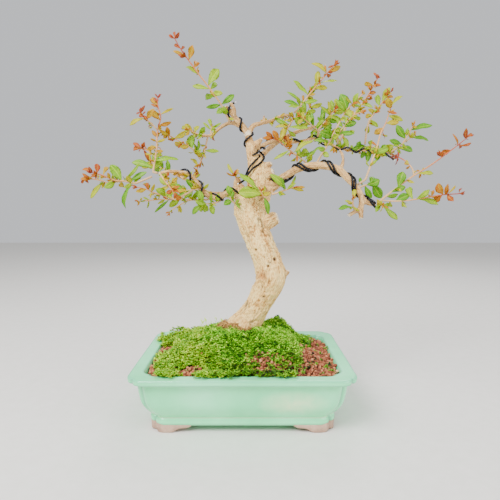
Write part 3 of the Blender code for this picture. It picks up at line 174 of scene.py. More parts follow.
def rough(points, size, seed=0):
    """Smooth random values from 0 to 1: one at each corner of cubes of this size, eased between."""
    at = np.asarray(points, float) / size
    cell = np.floor(at).astype(np.int64)
    part = at - cell
    part = part * part * (3 - 2 * part)
    total = np.zeros(len(at))
    for corner in range(8):
        step = np.array([corner & 1, corner >> 1 & 1, corner >> 2])
        key = (cell + step) @ np.array([73856093, 19349663, 83492791]) + seed * 2654435761
        key = ((key ^ (key >> 13)) * 1274126177) & 0x7FFFFFFF
        weight = np.prod(np.where(step == 1, part, 1 - part), axis=1)
        total += weight * ((key ^ (key >> 16)) & 0xFFFF) / 65535
    return total


def pot_outline():
    """The rim as shares of its half sizes and shifts from them. Each corner is two arcs that meet in a
    crease, which the glaze fills a little, and the sides run straight between the corners."""
    middle = CORNER_POINTS // 2
    a = np.linspace(0, math.atan2(NOTCH_RUN - NOTCH_DEPTH, NOTCH_RADIUS - NOTCH_DEPTH), middle + 1)
    across, along = NOTCH_RADIUS * (np.cos(a) - 1), NOTCH_RADIUS * np.sin(a) - NOTCH_RUN
    corner = np.vstack([np.stack([across, along], 1), np.stack([along, across], 1)[-2::-1]])
    corner -= 0.7 * np.exp(-np.abs(np.arange(CORNER_POINTS) - middle) / CREASE_REACH)[:, None]
    shares, shifts, corners = [], [], []
    for sx, sy in ((1, 1), (-1, 1), (-1, -1), (1, -1)):
        order = slice(None) if sx * sy > 0 else slice(None, None, -1)
        corners.append((np.tile((sx, sy), (CORNER_POINTS, 1)).astype(float), (corner * (sx, sy))[order]))
    for number, (share, shift) in enumerate(corners):
        share_next, shift_next = corners[(number + 1) % 4]
        t = np.arange(1, steps := (SIDE_STEPS, END_STEPS)[number % 2])[:, None] / steps
        shares += [share, share[-1] * (1 - t) + share_next[0] * t]
        shifts += [shift, shift[-1] * (1 - t) + shift_next[0] * t]
    return np.vstack(shares), np.vstack(shifts)


OUTLINE_SHARE, OUTLINE_SHIFT = pot_outline()


def ring(inset):
    """The pot's outline as (n, 2) points, drawn in by an inset."""
    return OUTLINE_SHARE * (RIM_HALF - inset) + OUTLINE_SHIFT


# The wall's profile: how far in from the rim's outline, and the height
UNDERSIDE = [(60, 12), (42, 12), (26.6, 9.6), (24.2, 12.6), (24.2, 18.4)]
BELLY = smooth_line([(26.0, 21.2), (20.4, 27.6), (14.4, 39.0), (11.6, 53.0), (9.6, 71.2)], 0.7)
LIP = [(0.4, 73.4), (0, 79.4), (1.6, 81), (18, 80.6)]
INSIDE = [(19.6, 77), (25.2, 38), (31, 25.5), (38, 20), (60, 20)]
PROFILE_STEP, PAST_THE_LIP, INSIDE_EVERY = 0.65, 45, 6
CREASE_DEPTH, SWAY = 1.9, 0.0035
wall = np.vstack([UNDERSIDE, BELLY, LIP, INSIDE])
lengths = np.concatenate([[0], np.cumsum(np.linalg.norm(np.diff(wall, axis=0), axis=1))])
even = np.arange(0, lengths[-1], PROFILE_STEP)
wall = softened(np.stack([np.interp(even, lengths, wall[:, c]) for c in (0, 1)], 1), 1.3)
heading = np.unwrap(np.arctan2(*np.gradient(wall, axis=0).T[::-1]))
curve = softened(np.gradient(heading)[:, None], 1.5)[:, 0]
inside = np.arange(len(wall)) > np.argmax(wall[:, 1]) + PAST_THE_LIP
kept = ~inside | (np.arange(len(wall)) % INSIDE_EVERY == 0)
wall, curve = wall[kept], curve[kept]
rings = np.array([np.column_stack([ring(inset), np.full(len(OUTLINE_SHARE), z)]) for inset, z in wall])
# The crease at the middle of each corner runs down the outside, and dies out at the top of the lip
crease = np.zeros(len(OUTLINE_SHARE))
side, end = CORNER_POINTS + SIDE_STEPS - 1, CORNER_POINTS + END_STEPS - 1
for middle in CORNER_POINTS // 2 + np.cumsum([0, side, end, side]):
    crease[middle - 4 : middle + 5] = np.exp(-np.abs(np.arange(-4, 5)) / CREASE_REACH)
outside = np.where(inside[kept], 0, np.clip((80.8 - wall[:, 1]) / 3, 0, 1))
crease = outside[:, None] * crease
rings[..., :2] -= CREASE_DEPTH * crease[..., None] * OUTLINE_SHARE
sway = rough(rings.reshape(-1, 3), 38, 5).reshape(rings.shape[:2]) - 0.7
rings[..., :2] *= 1 + SWAY * sway[..., None]
pot_points = np.vstack([[(0, 0, wall[0, 1])], rings.reshape(-1, 3), [(0, 0, wall[-1, 1])]])
thin_glaze = np.concatenate([[0], (curve[:, None] - 0.32 * crease).ravel(), [0]])

glaze, tree, shader = new_look("celadon_glaze", Roughness=0.24, IOR=1.5, Coat_Weight=0.6, Coat_Roughness=0.08)
# Celadon glaze over stoneware, fired glossy: it pools greener in the hollows, breaks to a warm cream where it
# is thin on the edges, and has faint clouds and specks about 1 mm across. A pale cream blotch low on the
# front is partly the glaze's own cream and partly a painted highlight, the window's sheen on the gloss
spot_in = add(tree, "ShaderNodeTexCoord", {}).outputs["Object"]
clouds = add(tree, "ShaderNodeTexNoise", {"Vector": spot_in, "Scale": 14.0, "Detail": 3.0, "Roughness": 0.55})
tone = add(tree, "ShaderNodeValToRGB", {"Fac": clouds.outputs["Fac"]},
           [(0.3, "68E49C"), (0.52, "7CF0AC"), (0.78, "98FAC2")])
edge = add(tree, "ShaderNodeAttribute", {}, attribute_name="thin_glaze")
worn = add(tree, "ShaderNodeMapRange", {"Value": edge.outputs["Fac"], "From Min": 0.05, "From Max": 0.42,
                                        "To Max": 0.7})
pooled = add(tree, "ShaderNodeMapRange", {"Value": edge.outputs["Fac"], "From Min": -0.03, "From Max": -0.3,
                                          "To Max": 0.8})
green = add(tree, "ShaderNodeMix", {"Factor": pooled.outputs[0], 6: tone.outputs[0], 7: linear("62B890")},
            data_type="RGBA")
cream = add(tree, "ShaderNodeMix", {"Factor": worn.outputs[0], 6: green.outputs[2], 7: linear("E6D8BC")},
            data_type="RGBA")
# Painted highlight: a ragged pale cream patch on the front wall, partly cream glaze and partly the window's
# sheen painted in
SHEEN_BLOTCH_AT = np.array([66, -105, 46])
patch = add(tree, "ShaderNodeMapping", {"Vector": spot_in, "Location": (SHEEN_BLOTCH_AT + POT_MIDDLE) * MM,
                                        "Scale": (0.05, 1.0, 0.02)}, vector_type="TEXTURE")
sheen_blotch = add(tree, "ShaderNodeTexGradient", {"Vector": patch.outputs[0]}, gradient_type="SPHERICAL")
ragged = add(tree, "ShaderNodeTexNoise", {"Vector": spot_in, "Scale": 90.0, "Detail": 4.0})
ragged_sheen_blotch = add(tree, "ShaderNodeMath", {0: sheen_blotch.outputs["Fac"], 1: ragged.outputs["Fac"]},
              operation="MULTIPLY", use_clamp=True)
pale = add(tree, "ShaderNodeMix", {"Factor": ragged_sheen_blotch.outputs[0], 6: cream.outputs[2], 7: linear("FFF8C0")},
           data_type="RGBA")
pores = add(tree, "ShaderNodeTexVoronoi", {"Vector": spot_in, "Scale": 420.0})
speck = add(tree, "ShaderNodeMapRange", {"Value": pores.outputs["Distance"], "From Min": 0.06,
                                         "From Max": 0.16, "To Min": 0.22, "To Max": 0.0})
specked = add(tree, "ShaderNodeMix", {"Factor": speck.outputs[0], 6: pale.outputs[2], 7: linear("8FA890")},
              data_type="RGBA")
tree.links.new(specked.outputs[2], shader.inputs["Base Color"])
ripple = add(tree, "ShaderNodeTexNoise", {"Vector": spot_in, "Scale": 160.0, "Detail": 2.0})
dimple = add(tree, "ShaderNodeBump", {"Height": ripple.outputs["Fac"], "Strength": 0.08, "Distance": 0.0006})
tree.links.new(dimple.outputs[0], shader.inputs["Normal"])

pot = piece("pot_wall", pot_points, skin(len(wall), len(OUTLINE_SHARE)), [glaze], ["pot"],
            {"thin_glaze": thin_glaze})
for x in (-DRAIN_X, DRAIN_X):
    bpy.ops.mesh.primitive_cylinder_add(radius=DRAIN_RADIUS * MM, depth=0.03, vertices=40,
                                        location=(np.array([x, 0, 16]) + POT_MIDDLE) * MM)
    drill = bpy.context.object
    bore = pot.modifiers.new("bore", "BOOLEAN")
    bore.operation, bore.object = "DIFFERENCE", drill
    pot.data = bpy.data.meshes.new_from_object(pot.evaluated_get(bpy.context.evaluated_depsgraph_get()))
    pot.modifiers.clear()
    bpy.data.objects.remove(drill)
pot.data.shade_smooth()


# The feet: four corner feet of the same clay, left bare of glaze. Each is a strip that follows the skirt
# round a corner, with a lower edge that steps up in a low scroll to a thin tail.

FOOT_INSET, FOOT_TOP, FOOT_DROP = 25.2, 13.0, 10.0
# Half a foot from its tail to the corner: places on its outer and its inner edge, measured in from the
# skirt's corner both ways, and how far along the foot they are
HALF_FOOT = smooth_line([(0, 56.5, 9.5, 56.5, 56.5), (0, 51, 11, 51, 51), (0, 39, 11, 39, 39),
                         (0, 31, 11, 31, 31), (0, 24, 11, 24, 24), (0.8, 17, 12.5, 21.5, 17),
                         (2.6, 12, 15, 20, 12), (8, 8, 18.5, 18.5, 8)], 1.2)
foot_path = np.vstack([HALF_FOOT, HALF_FOOT[-2::-1][:, [1, 0, 3, 2, 4]]])
# The scroll: how far down the foot reaches, as a share of its drop, at each length along it
scroll = np.linspace(0, 57, 286)
drop = np.interp(scroll, (0, 8, 12, 31, 38, 42, 51, 57), (0.55, 0.72, 1, 1, 0.56, 0.42, 0.38, 0.05))
drop = softened(drop[:, None], 8)[:, 0]
foot_low = np.maximum(0, FOOT_DROP * (1 - np.interp(foot_path[:, 4], scroll, drop)))
foot_points, foot_faces = [], []
for sx in (-1, 1):
    for sy in (-1, 1):
        corner_at = (RIM_HALF - FOOT_INSET) * (sx, sy)
        outer = corner_at - foot_path[:, :2] * (sx, sy)
        inner = corner_at - foot_path[:, 2:4] * (sx, sy)
        slant = (inner - outer) * 0.1
        loop = np.stack([
            np.column_stack([outer, np.full(len(outer), FOOT_TOP)]),
            np.column_stack([outer + 0.3 * slant, foot_low + 1.6]),
            np.column_stack([outer + slant, foot_low]),
            np.column_stack([inner - 0.6 * slant, foot_low]),
            np.column_stack([inner, foot_low + 1.6]),
            np.column_stack([inner, np.full(len(inner), FOOT_TOP)]),
        ], 1)
        loop[..., :2] += 0.5 * (rough(loop.reshape(-1, 3), 5, 2).reshape(loop.shape[:2]) - 0.5)[..., None]
        ends = loop[[0, -1]].mean(axis=1)
        start = sum(len(p) for p in foot_points)
        faces = skin(len(loop), 6, start)
        foot_points.append(np.vstack([ends[:1], loop.reshape(-1, 3), ends[1:]]))
        foot_faces.append(faces if sx * sy > 0 else faces[:, ::-1])

clay, tree, shader = new_look("bare_stoneware", Roughness=0.8)
# Bare stoneware clay, fired unglazed: matt, sandy and pinkish grey, darker where the kiln scorched it
spot_in = add(tree, "ShaderNodeTexCoord", {}).outputs["Object"]
scorch = add(tree, "ShaderNodeTexNoise", {"Vector": spot_in, "Scale": 45.0, "Detail": 6.0, "Roughness": 0.7})
clay_tone = add(tree, "ShaderNodeValToRGB", {"Fac": scorch.outputs["Fac"]},
                [(0.32, "9A7A68"), (0.5, "B8957F"), (0.7, "CCAE98")])
tree.links.new(clay_tone.outputs[0], shader.inputs["Base Color"])
sand = add(tree, "ShaderNodeTexNoise", {"Vector": spot_in, "Scale": 900.0, "Detail": 3.0})
gritty = add(tree, "ShaderNodeBump", {"Height": sand.outputs["Fac"], "Strength": 0.4, "Distance": 0.0004})
tree.links.new(gritty.outputs[0], shader.inputs["Normal"])
piece("pot_feet", np.vstack(foot_points), np.vstack(foot_faces), [clay], ["pot"])


# The drain screens: squares of black plastic mesh that lie over the drain holes under the soil. Their packed
# solids have the right shape and stay.

screen_look, tree, shader = new_look("screen_polyethylene", Roughness=0.5)
# Polyethylene, moulded: a near-black plastic with a fine dust of clay on it
spot_in = add(tree, "ShaderNodeTexCoord", {}).outputs["Object"]
dust = add(tree, "ShaderNodeTexNoise", {"Vector": spot_in, "Scale": 260.0, "Detail": 4.0})
dusty = add(tree, "ShaderNodeValToRGB", {"Fac": dust.outputs["Fac"]}, [(0.4, "1C1B1A"), (0.75, "4A3A32")])
tree.links.new(dusty.outputs[0], shader.inputs["Base Color"])
for name in ("drain_screen_left", "drain_screen_right"):
    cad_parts[name].data.materials.clear()
    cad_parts[name].data.materials.append(screen_look)


# The soil: reddish-brown fired-clay granules of 3 to 6 mm, heaped in a mound that is lower on the right. A
# closed bed of the mound's shape fills the pot, and single granules lie on it where nothing grows.

TRUNK_FOOT = np.array([-2.0, 22.5])
SOIL_HALF = RIM_HALF - 20.4
SOIL_AT_WALL, SOIL_RISE = 75, 33


def ease(t):
    """A smooth step: three times the square less twice the cube, held at 0 and 1."""
    t = np.clip(t, 0, 1)
    return t * t * (3 - 2 * t)


def soil_height(x, y):
    """Level at the wall, then a smooth step up to a broad top, and 60% lower on the right."""
    out = ((np.abs(x) / SOIL_HALF[0]) ** 3 + (np.abs(y) / SOIL_HALF[1]) ** 3) ** (1 / 3)
    return SOIL_AT_WALL + SOIL_RISE * ease((1 - out) / 0.68) * (1 - 0.6 * ease((x - 25) / 80))


def bearing_and_reach(x, y):
    """The direction from the trunk's foot in degrees, and how far out a point lies, 1 being at the wall."""
    dx, dy = x - TRUNK_FOOT[0], y - TRUNK_FOOT[1]
    reach = np.maximum(np.abs(dx) / (SOIL_HALF[0] - np.sign(dx) * TRUNK_FOOT[0]),
                       np.abs(dy) / (SOIL_HALF[1] - np.sign(dy) * TRUNK_FOOT[1]))
    return np.degrees(np.arctan2(dy, dx)), reach


# How far out the moss and the creeping plants grow, as (bearing, reach), and where the plants have died back,
# as ovals' middles and half sizes
MOSS_EDGE = ((-180, 0.42), (-148, 0.4), (-128, 0.62), (-108, 0.87), (-96, 0.94), (-74, 0.92), (-62, 0.8),
             (-39, 0.6), (-18, 0.68), (6, 0.8), (30, 0.86), (60, 0.93), (122, 0.93), (142, 0.6), (160, 0.44),
             (180, 0.42))
PLANT_EDGE = ((-180, 0.99), (-150, 0.98), (-130, 1.0), (-110, 1.02), (-70, 1.02), (-56, 0.95), (-40, 0.6),
              (-30, 0.3), (120, 0.3), (132, 1.0), (180, 0.99))
BALD_SPOTS = ((-72, -84, 18, 11), (-122, 13, 14, 15), (-122, -78, 15, 12), (-130, -56, 10, 14),
              (-60, -30, 9, 7))


def edges_of_growth(x, y):
    """How far out moss and creeping plants reach in a point's direction, each edge ragged by noise."""
    bearing, reach = bearing_and_reach(x, y)
    ground = np.column_stack([x, y, 0 * x])
    ragged = 0.16 * (rough(ground, 17, 1) - 0.5) + 0.12 * (rough(ground, 6, 2) - 0.5)
    moss = np.interp(bearing, *np.transpose(MOSS_EDGE)) + ragged
    plants = np.interp(bearing, *np.transpose(PLANT_EDGE)) + ragged * 0.7
    return reach, moss, plants


def bald(x, y):
    """1 in the middle of the oval spots where the creeping plants have died back, falling to 0 round them."""
    spots = [np.exp(-(((x - a) / wide) ** 2) - ((y - b) / deep) ** 2) for a, b, wide, deep in BALD_SPOTS]
    return np.max(spots, axis=0)


def thinned(x, y):
    """1 in the front right corner, where green and granules mix, falling to 0 to the left and the back."""
    return ease((x + 18) / 46) * ease((-y - 42) / 34)


def strewn(pitch, jitter, seed, half=(131.0, 98.0)):
    """Points on a staggered grid over the pot's mouth, each moved at random."""
    rng = np.random.default_rng(seed)
    x, y = np.meshgrid(np.arange(-half[0], half[0], pitch), np.arange(-half[1], half[1], pitch * 0.866))
    x = x + (np.arange(len(x)) % 2)[:, None] * pitch / 2
    x, y = (c.ravel() + rng.uniform(-jitter, jitter, c.size) for c in (x, y))
    inside = ((np.abs(x) / SOIL_HALF[0]) ** 7 + (np.abs(y) / SOIL_HALF[1]) ** 7) < 0.97
    return x[inside], y[inside], rng


def copies(shape, faces, at, axes):
    """One mesh of many copies of a small shape: its points times each copy's axes, moved to its place."""
    points = at[:, None] + np.einsum("kc,ncd->nkd", shape, axes)
    faces = faces[None] + len(shape) * np.arange(len(at))[:, None, None]
    return points.reshape(-1, 3), faces.reshape(-1, faces.shape[-1])


def turned(rng, count):
    """Random rotations, from unit quaternions."""
    w, x, y, z = (q := rng.normal(size=(4, count))) / np.linalg.norm(q, axis=0)
    rows = [[1 - 2 * (y * y + z * z), 2 * (x * y - z * w), 2 * (x * z + y * w)],
            [2 * (x * y + z * w), 1 - 2 * (x * x + z * z), 2 * (y * z - x * w)],
            [2 * (x * z - y * w), 2 * (y * z + x * w), 1 - 2 * (x * x + y * y)]]
    return np.moveaxis(np.array(rows), -1, 0)


# The bed: rings from the trunk's foot out to the wall, and down the inside of the pot to its floor
shares = np.linspace(0.03, 1, 34)[:, None, None]
mouth = TRUNK_FOOT + (ring(20.2) - TRUNK_FOOT) * shares
bed = np.dstack([mouth, soil_height(mouth[..., 0], mouth[..., 1])])
grainy = rough(bed.reshape(-1, 3) * (1, 1, 0), 3.2, 7) + 0.6 * rough(bed.reshape(-1, 3) * (1, 1, 0), 9, 8)
bed[..., 2] += 2.4 * grainy.reshape(bed.shape[:2]) - 4.0
sides = np.array([np.column_stack([ring(inset), np.full(len(OUTLINE_SHARE), z)])
                  for z, inset in ((69, 21.8), (38.4, 25.9), (25.9, 31.4))])
bed = np.vstack([bed, sides])
bed_points = np.vstack([[(*TRUNK_FOOT, 104.0)], bed.reshape(-1, 3), [(0, 0, 25.9)]])

earth, tree, shader = new_look("clay_granules", Roughness=0.92)
# Fired red clay, crushed and damp: matt, from brick red to dark brown, each granule its own tone, and pitted
tint = add(tree, "ShaderNodeAttribute", {}, attribute_name="tone")
spot_in = add(tree, "ShaderNodeTexCoord", {}).outputs["Object"]
pitting = add(tree, "ShaderNodeTexNoise",
              {"Vector": spot_in, "Scale": 700.0, "Detail": 4.0, "Roughness": 0.7})
mixed = add(tree, "ShaderNodeMath", {0: pitting.outputs["Fac"], 1: 0.35, 2: tint.outputs["Fac"]},
            operation="MULTIPLY_ADD")
earthy = add(tree, "ShaderNodeValToRGB", {"Fac": mixed.outputs[0]},
             [(0.1, "30180E"), (0.35, "7C4028"), (0.6, "AA6640"), (0.85, "C89068"), (1.0, "E0C298")])
tree.links.new(earthy.outputs[0], shader.inputs["Base Color"])
pitted = add(tree, "ShaderNodeBump", {"Height": pitting.outputs["Fac"], "Strength": 0.6, "Distance": 0.0005})
tree.links.new(pitted.outputs[0], shader.inputs["Normal"])
piece("soil_bed", bed_points, skin(len(bed), len(OUTLINE_SHARE))[:, ::-1], [earth], ["soil"],
      {"tone": np.full(len(bed_points), 0.12)})

# The granules: on bare soil, in bald and thinned spots, and a few along the moss's edge. One in five has
# another lying on it. Each is a ball stretched three ways and knobbled by noise.
GRANULE_PITCH, GRANULE_RADIUS, ON_TOP = 3.5, (1.35, 2.6), 0.22
ball = bmesh.new()
bmesh.ops.create_icosphere(ball, subdivisions=2, radius=1.0)
BALL = np.array([v.co[:] for v in ball.verts])
BALL_FACES = np.array([[v.index for v in f.verts] for f in ball.faces])
ball.free()
x, y, rng = strewn(GRANULE_PITCH, 1.3, 31)
reach, moss_edge, plant_edge = edges_of_growth(x, y)
green = (reach < moss_edge) | (reach < plant_edge)
bare = ~green | ((reach > moss_edge) & (bald(x, y) > 0.2)) | (thinned(x, y) > 0.2)
bare |= (reach > moss_edge - 0.12) & (rng.random(len(x)) < 0.12)
x, y = x[bare], y[bare]
z = soil_height(x, y) + rng.uniform(-1.2, 1.4, len(x))
extra = rng.random(len(x)) < ON_TOP
x, y, z = (np.concatenate([c, c[extra] + push]) for c, push in ((x, 1.5), (y, -1.0), (z, 2.6)))
sizes = rng.uniform(*GRANULE_RADIUS, (len(x), 1, 1)) * rng.uniform(0.7, 1.2, (len(x), 3, 1))
grain_points, grain_faces = copies(BALL, BALL_FACES, np.column_stack([x, y, z]), turned(rng, len(x)) * sizes)
centres = np.repeat(np.column_stack([x, y, z]), len(BALL), axis=0)
knobs = 0.75 + 0.5 * rough(grain_points + 7.3 * centres, 1.5, 6)
grain_points = centres + (grain_points - centres) * knobs[:, None]
grain_tone = np.repeat(rng.beta(2.2, 2.6, len(x)) * 0.75, len(BALL))
piece("soil_granules", grain_points, grain_faces, [earth], ["soil"], {"tone": grain_tone})


# The moss: a springy mat of tiny-leaved green round the trunk, with a hump behind it. A closed mat of
# its shape, coloured near black as painted shade between the sprigs, carries thousands of sprigs of six
# leaves, each 2 to 5 mm long.

MOSS_DEPTH, LEAVES_A_SPRIG = 8.0, 6
HUMP_AT, HUMP_REACH, HUMP_RISE = (58, 64), (23, 25), 25


def moss_top(x, y, reach, edge):
    """The soil's height plus 8 mm of moss, with a bell-shaped hump and tufts of noise, less in the thinned
    corner, and rounded off to nothing at its edge by the root of a smooth step."""
    from_hump = ((x - HUMP_AT[0]) / HUMP_REACH[0]) ** 2 + ((y - HUMP_AT[1]) / HUMP_REACH[1]) ** 2
    hump = HUMP_RISE * np.exp(-from_hump)
    ground = np.column_stack([x, y, 0 * x])
    tufts = 4.5 * (rough(ground, 9, 9) - 0.5) + 3 * (rough(ground, 4, 10) - 0.5)
    deep = (MOSS_DEPTH + hump + tufts) * (1 - 0.6 * thinned(x, y))
    return soil_height(x, y) + deep * ease((edge - reach) / 0.16) ** 0.5


def mat_points(angles, inner, outer, height):
    """A grid from an inner to an outer reach in each direction: an upper face, and one in the soil."""
    a = np.radians(angles)[None]
    _, unit = bearing_and_reach(TRUNK_FOOT[0] + np.cos(a), TRUNK_FOOT[1] + np.sin(a))
    reach = inner + (outer - inner) * np.linspace(0, 1, 40)[:, None]
    x, y = TRUNK_FOOT[0] + reach / unit * np.cos(a), TRUNK_FOOT[1] + reach / unit * np.sin(a)
    flat_x, flat_y = x.ravel(), y.ravel()
    upper = np.dstack([x, y, height(flat_x, flat_y).reshape(x.shape)])
    lower = np.dstack([x, y, soil_height(flat_x, flat_y).reshape(x.shape) - 3.5])
    return upper, lower


def moss_height(x, y):
    """The mat's top, dark with painted shade: 2.2 mm under the moss, and 4 mm more in the thinned corner."""
    reach, edge, _ = edges_of_growth(x, y)
    return moss_top(x, y, reach, edge) - 2.2 - 4 * thinned(x, y)


around = np.linspace(-180, 180, 220, endpoint=False)
upper, lower = mat_points(around, 0.03, np.interp(around, *np.transpose(MOSS_EDGE)) + 0.03, moss_height)
mat = np.vstack([upper, lower[-1:], lower[:1]])
mat_all = np.vstack([[upper[0].mean(axis=0)], mat.reshape(-1, 3), [lower[0].mean(axis=0)]])

moss_look, tree, shader = new_look("cushion_moss", Roughness=0.8, Specular_IOR_Level=0.2)
# Living moss, damp: soft and matt, fresh green at the leaf tips; the near black of the mat between the sprigs
# and the darker leaf bases are painted shade
tint = add(tree, "ShaderNodeAttribute", {}, attribute_name="tone")
mossy = add(tree, "ShaderNodeValToRGB", {"Fac": tint.outputs["Fac"]},
            [(0.0, "0C1A02"), (0.22, "2A6402"), (0.45, "58A802"), (0.7, "92D80A"), (1.0, "D8F65C")])
tree.links.new(mossy.outputs[0], shader.inputs["Base Color"])
# Painted shade: the mat's tones at the near-black end of the ramp stand for the shade in the gaps between the
# sprigs
piece("moss_shade_mat", mat_all, skin(len(mat), len(around))[:, ::-1], [moss_look], ["moss"],
      {"tone": 0.12 + 0.2 * rough(mat_all, 3.0, 12)})

POINTED = np.array([(0, 0, 0), (0.5, 0.5, 0.05), (1, 0, -0.12), (0.5, -0.5, 0.05), (0.45, 0, 0.14)])
POINTED_FACES = np.array([(0, 4, 1), (1, 4, 2), (2, 4, 3), (3, 4, 0), (0, 1, 3), (1, 2, 3)])


def sprigs(at, leaves, length, width, rise, rng):
    """Starts and axes of the leaves of sprigs: each is turned on from the last by 1.27 even shares of a turn,
    set 0.28 mm above it, and raised by its own angle in degrees."""
    count = len(at)
    turn = rng.uniform(0, 2 * np.pi, (count, 1)) + np.arange(leaves) * 2 * np.pi / leaves * 1.27
    turn = turn + rng.normal(0, 0.3, (count, leaves))
    lift = np.radians(rng.uniform(*rise, (count, leaves)))
    along = np.dstack([np.cos(turn) * np.cos(lift), np.sin(turn) * np.cos(lift), np.sin(lift)])
    side = np.dstack([-np.sin(turn), np.cos(turn), 0 * turn])
    up = np.cross(along, side)
    long = rng.uniform(*length, (count, leaves, 1))
    wide = long * rng.uniform(*width, (count, leaves, 1))
    axes = np.stack([along * long, side * wide, up * long], 2).reshape(-1, 3, 3)
    starts = at[:, None] + np.array([0, 0, 0.28]) * np.arange(leaves)[None, :, None]
    return starts.reshape(-1, 3), axes


x, y, rng = strewn(2.5, 1.2, 41)
reach, edge, _ = edges_of_growth(x, y)
beside_trunk = np.hypot(x - TRUNK_FOOT[0] + 5, y - TRUNK_FOOT[1]) > 21
grown = (reach < edge + 0.02) & beside_trunk & (rng.random(len(x)) > 0.8 * thinned(x, y))
x, y, reach, edge = x[grown], y[grown], reach[grown], edge[grown]
at = np.column_stack([x, y, moss_top(x, y, reach, edge) - 1.6 + rng.uniform(-1.6, 1.8, len(x))])
starts, axes = sprigs(at, LEAVES_A_SPRIG, (2.3, 4.7), (0.4, 0.6), (0, 65), rng)
leaf_points, leaf_faces = copies(POINTED, POINTED_FACES, starts, axes)
patchy = 0.3 * (rough(at, 20, 13) - 0.5) + 0.6 * (rough(at, 5, 14) - 0.5) + rng.normal(0, 0.15, len(at))
# Each leaf's base is darkened as painted shade down among the sprigs, and its tip is paler fresh growth
tone = np.repeat(0.46 + patchy, LEAVES_A_SPRIG)[:, None] + np.array([-0.36, 0.05, 0.25, 0.05, 0.08])
tone = tone + rng.normal(0, 0.13, (len(tone), 1))
piece("moss_sprigs", leaf_points, leaf_faces, [moss_look], ["moss"],
      {"tone": np.clip(tone, 0, 1).ravel()})


# The creeping plants: a lime-green mat of small round leaves, 3 to 6 mm long, on the left and along the front
# rim, where they spill over the lip, and taller at the back left. A thin closed mat, dark with painted shade
# under the sprigs, carries them, and wisps of grass grow through.


def plant_height(x, y):
    """The thin mat's top: some 3.6 mm over the soil, lower in bald and thinned spots, and eased into the soil
    at its edge."""
    reach, _, edge = edges_of_growth(x, y)
    ground = np.column_stack([x, y, 0 * x])
    deep = 3.6 + 4 * (rough(ground, 7, 15) - 0.5) - 6 * np.maximum(bald(x, y), thinned(x, y))
    return soil_height(x, y) + deep * ease((edge - reach) / 0.1) - 0.9


def stand(x, y):
    """How tall the creeping plants stand: 5 mm, and a bell-shaped 12 mm more at the back left."""
    return 5 + 12 * np.exp(-(((x + 98) / 34) ** 2) - ((y - 56) / 32) ** 2)


swept = np.linspace(134, 326, 150)
signed = np.where(swept > 180, swept - 360, swept)
inner = np.interp(signed, *np.transpose(MOSS_EDGE)) - 0.08
outer = np.maximum(inner + 0.02, np.minimum(0.985, np.interp(signed, *np.transpose(PLANT_EDGE)) - 0.02))
upper, lower = mat_points(signed, inner, outer, plant_height)
loops = np.concatenate([upper, lower[::-1]]).swapaxes(0, 1)
mat_all = np.vstack([[loops[0].mean(axis=0)], loops.reshape(-1, 3), [loops[-1].mean(axis=0)]])

plant_look, tree, shader = new_look("creeping_plant_leaf", Roughness=0.6, Specular_IOR_Level=0.25,
                                    Subsurface_Weight=0.1, Subsurface_Scale=0.002)
# Small living leaves with a thin wax: satin, lime yellow at the edge; the near black of the mat under the
# sprigs and the deep green at each leaf's stalk are painted shade
tint = add(tree, "ShaderNodeAttribute", {}, attribute_name="tone")
limy = add(tree, "ShaderNodeValToRGB", {"Fac": tint.outputs["Fac"]},
           [(0.0, "221C04"), (0.2, "3A7402"), (0.45, "74B804"), (0.72, "ACDC08"), (1.0, "DEF454")])
tree.links.new(limy.outputs[0], shader.inputs["Base Color"])
# Painted shade: the mat's tones at the dark end of the ramp stand for the shade under the sprigs
piece("plant_shade_mat", mat_all, skin(len(loops), loops.shape[1]), [plant_look], ["creeping_plants"],
      {"tone": 0.14 * rough(mat_all, 3.0, 16)})

ROUND = np.array([(0, 0, 0), (0.35, 0.42, 0.03), (0.75, 0.4, 0), (1, 0, -0.1), (0.75, -0.4, 0),
                  (0.35, -0.42, 0.03), (0.5, 0, -0.08)])
ROUND_FACES = np.array([(0, 6, 1), (1, 6, 2), (2, 6, 3), (3, 6, 4), (4, 6, 5), (5, 6, 0),
                        (0, 1, 5), (1, 2, 5), (5, 2, 4), (2, 3, 4)])
x, y, rng = strewn(3.3, 1.5, 51, (134.0, 101.0))
reach, moss_edge, edge = edges_of_growth(x, y)
grown = (reach > moss_edge - 0.1) & (reach < edge) & (bald(x, y) < rng.uniform(0.1, 0.5, len(x)))
grown &= rng.random(len(x)) > 0.72 * thinned(x, y)
grown |= (reach >= edge) & (rng.random(len(x)) < 0.05)
x, y = x[grown], y[grown]
tall = stand(x, y)
z = soil_height(x, y) + 1.5 + rng.uniform(0, 1, len(x)) ** 1.4 * tall
storeys = tall > 8
x, y, z = (np.concatenate([c, c[storeys] + rng.normal(0, 1.5, storeys.sum())]) for c in (x, y, z))
# Along the front rim some sprigs lie in over the soil, and some reach out over the lip where the noise is
# high, fewer to the right. A few more lie on the rim at the left and at the back left.
SPILL, ON_RIM, ON_LIP = 900, (46, 1), 82.4
over = rng.uniform(-112, 70, SPILL)
far_out = 2.6 * rough(np.column_stack([over, 0 * over, 0 * over]), 13, 18) - 0.9 + rng.normal(0, 0.35, SPILL)
out = 10 * rng.uniform(-1, 0, SPILL) * (rng.random(SPILL) < 0.6)
out = out + 15 * rng.uniform(0, 1, SPILL) * np.clip(far_out, 0, 1)
lying_at = 79.5 + 3 * ease(out / 2 + 1.5) + rng.uniform(0, 2.2, SPILL) ** 1.6
rooted = bald(over, -92 + 0 * over) < rng.uniform(0.15, 0.5, SPILL)
rooted &= rng.random(SPILL) < 0.75 - 0.48 * ease((over + 40) / 40)
front = np.column_stack([over, -97.5 - out, lying_at])[rooted]
lip = rng.uniform(0, 1, ON_RIM)
left_rim = np.hstack([-132.5 - rng.uniform(0, 7, ON_RIM), 95 - 105 * lip, np.full(ON_RIM, ON_LIP)])
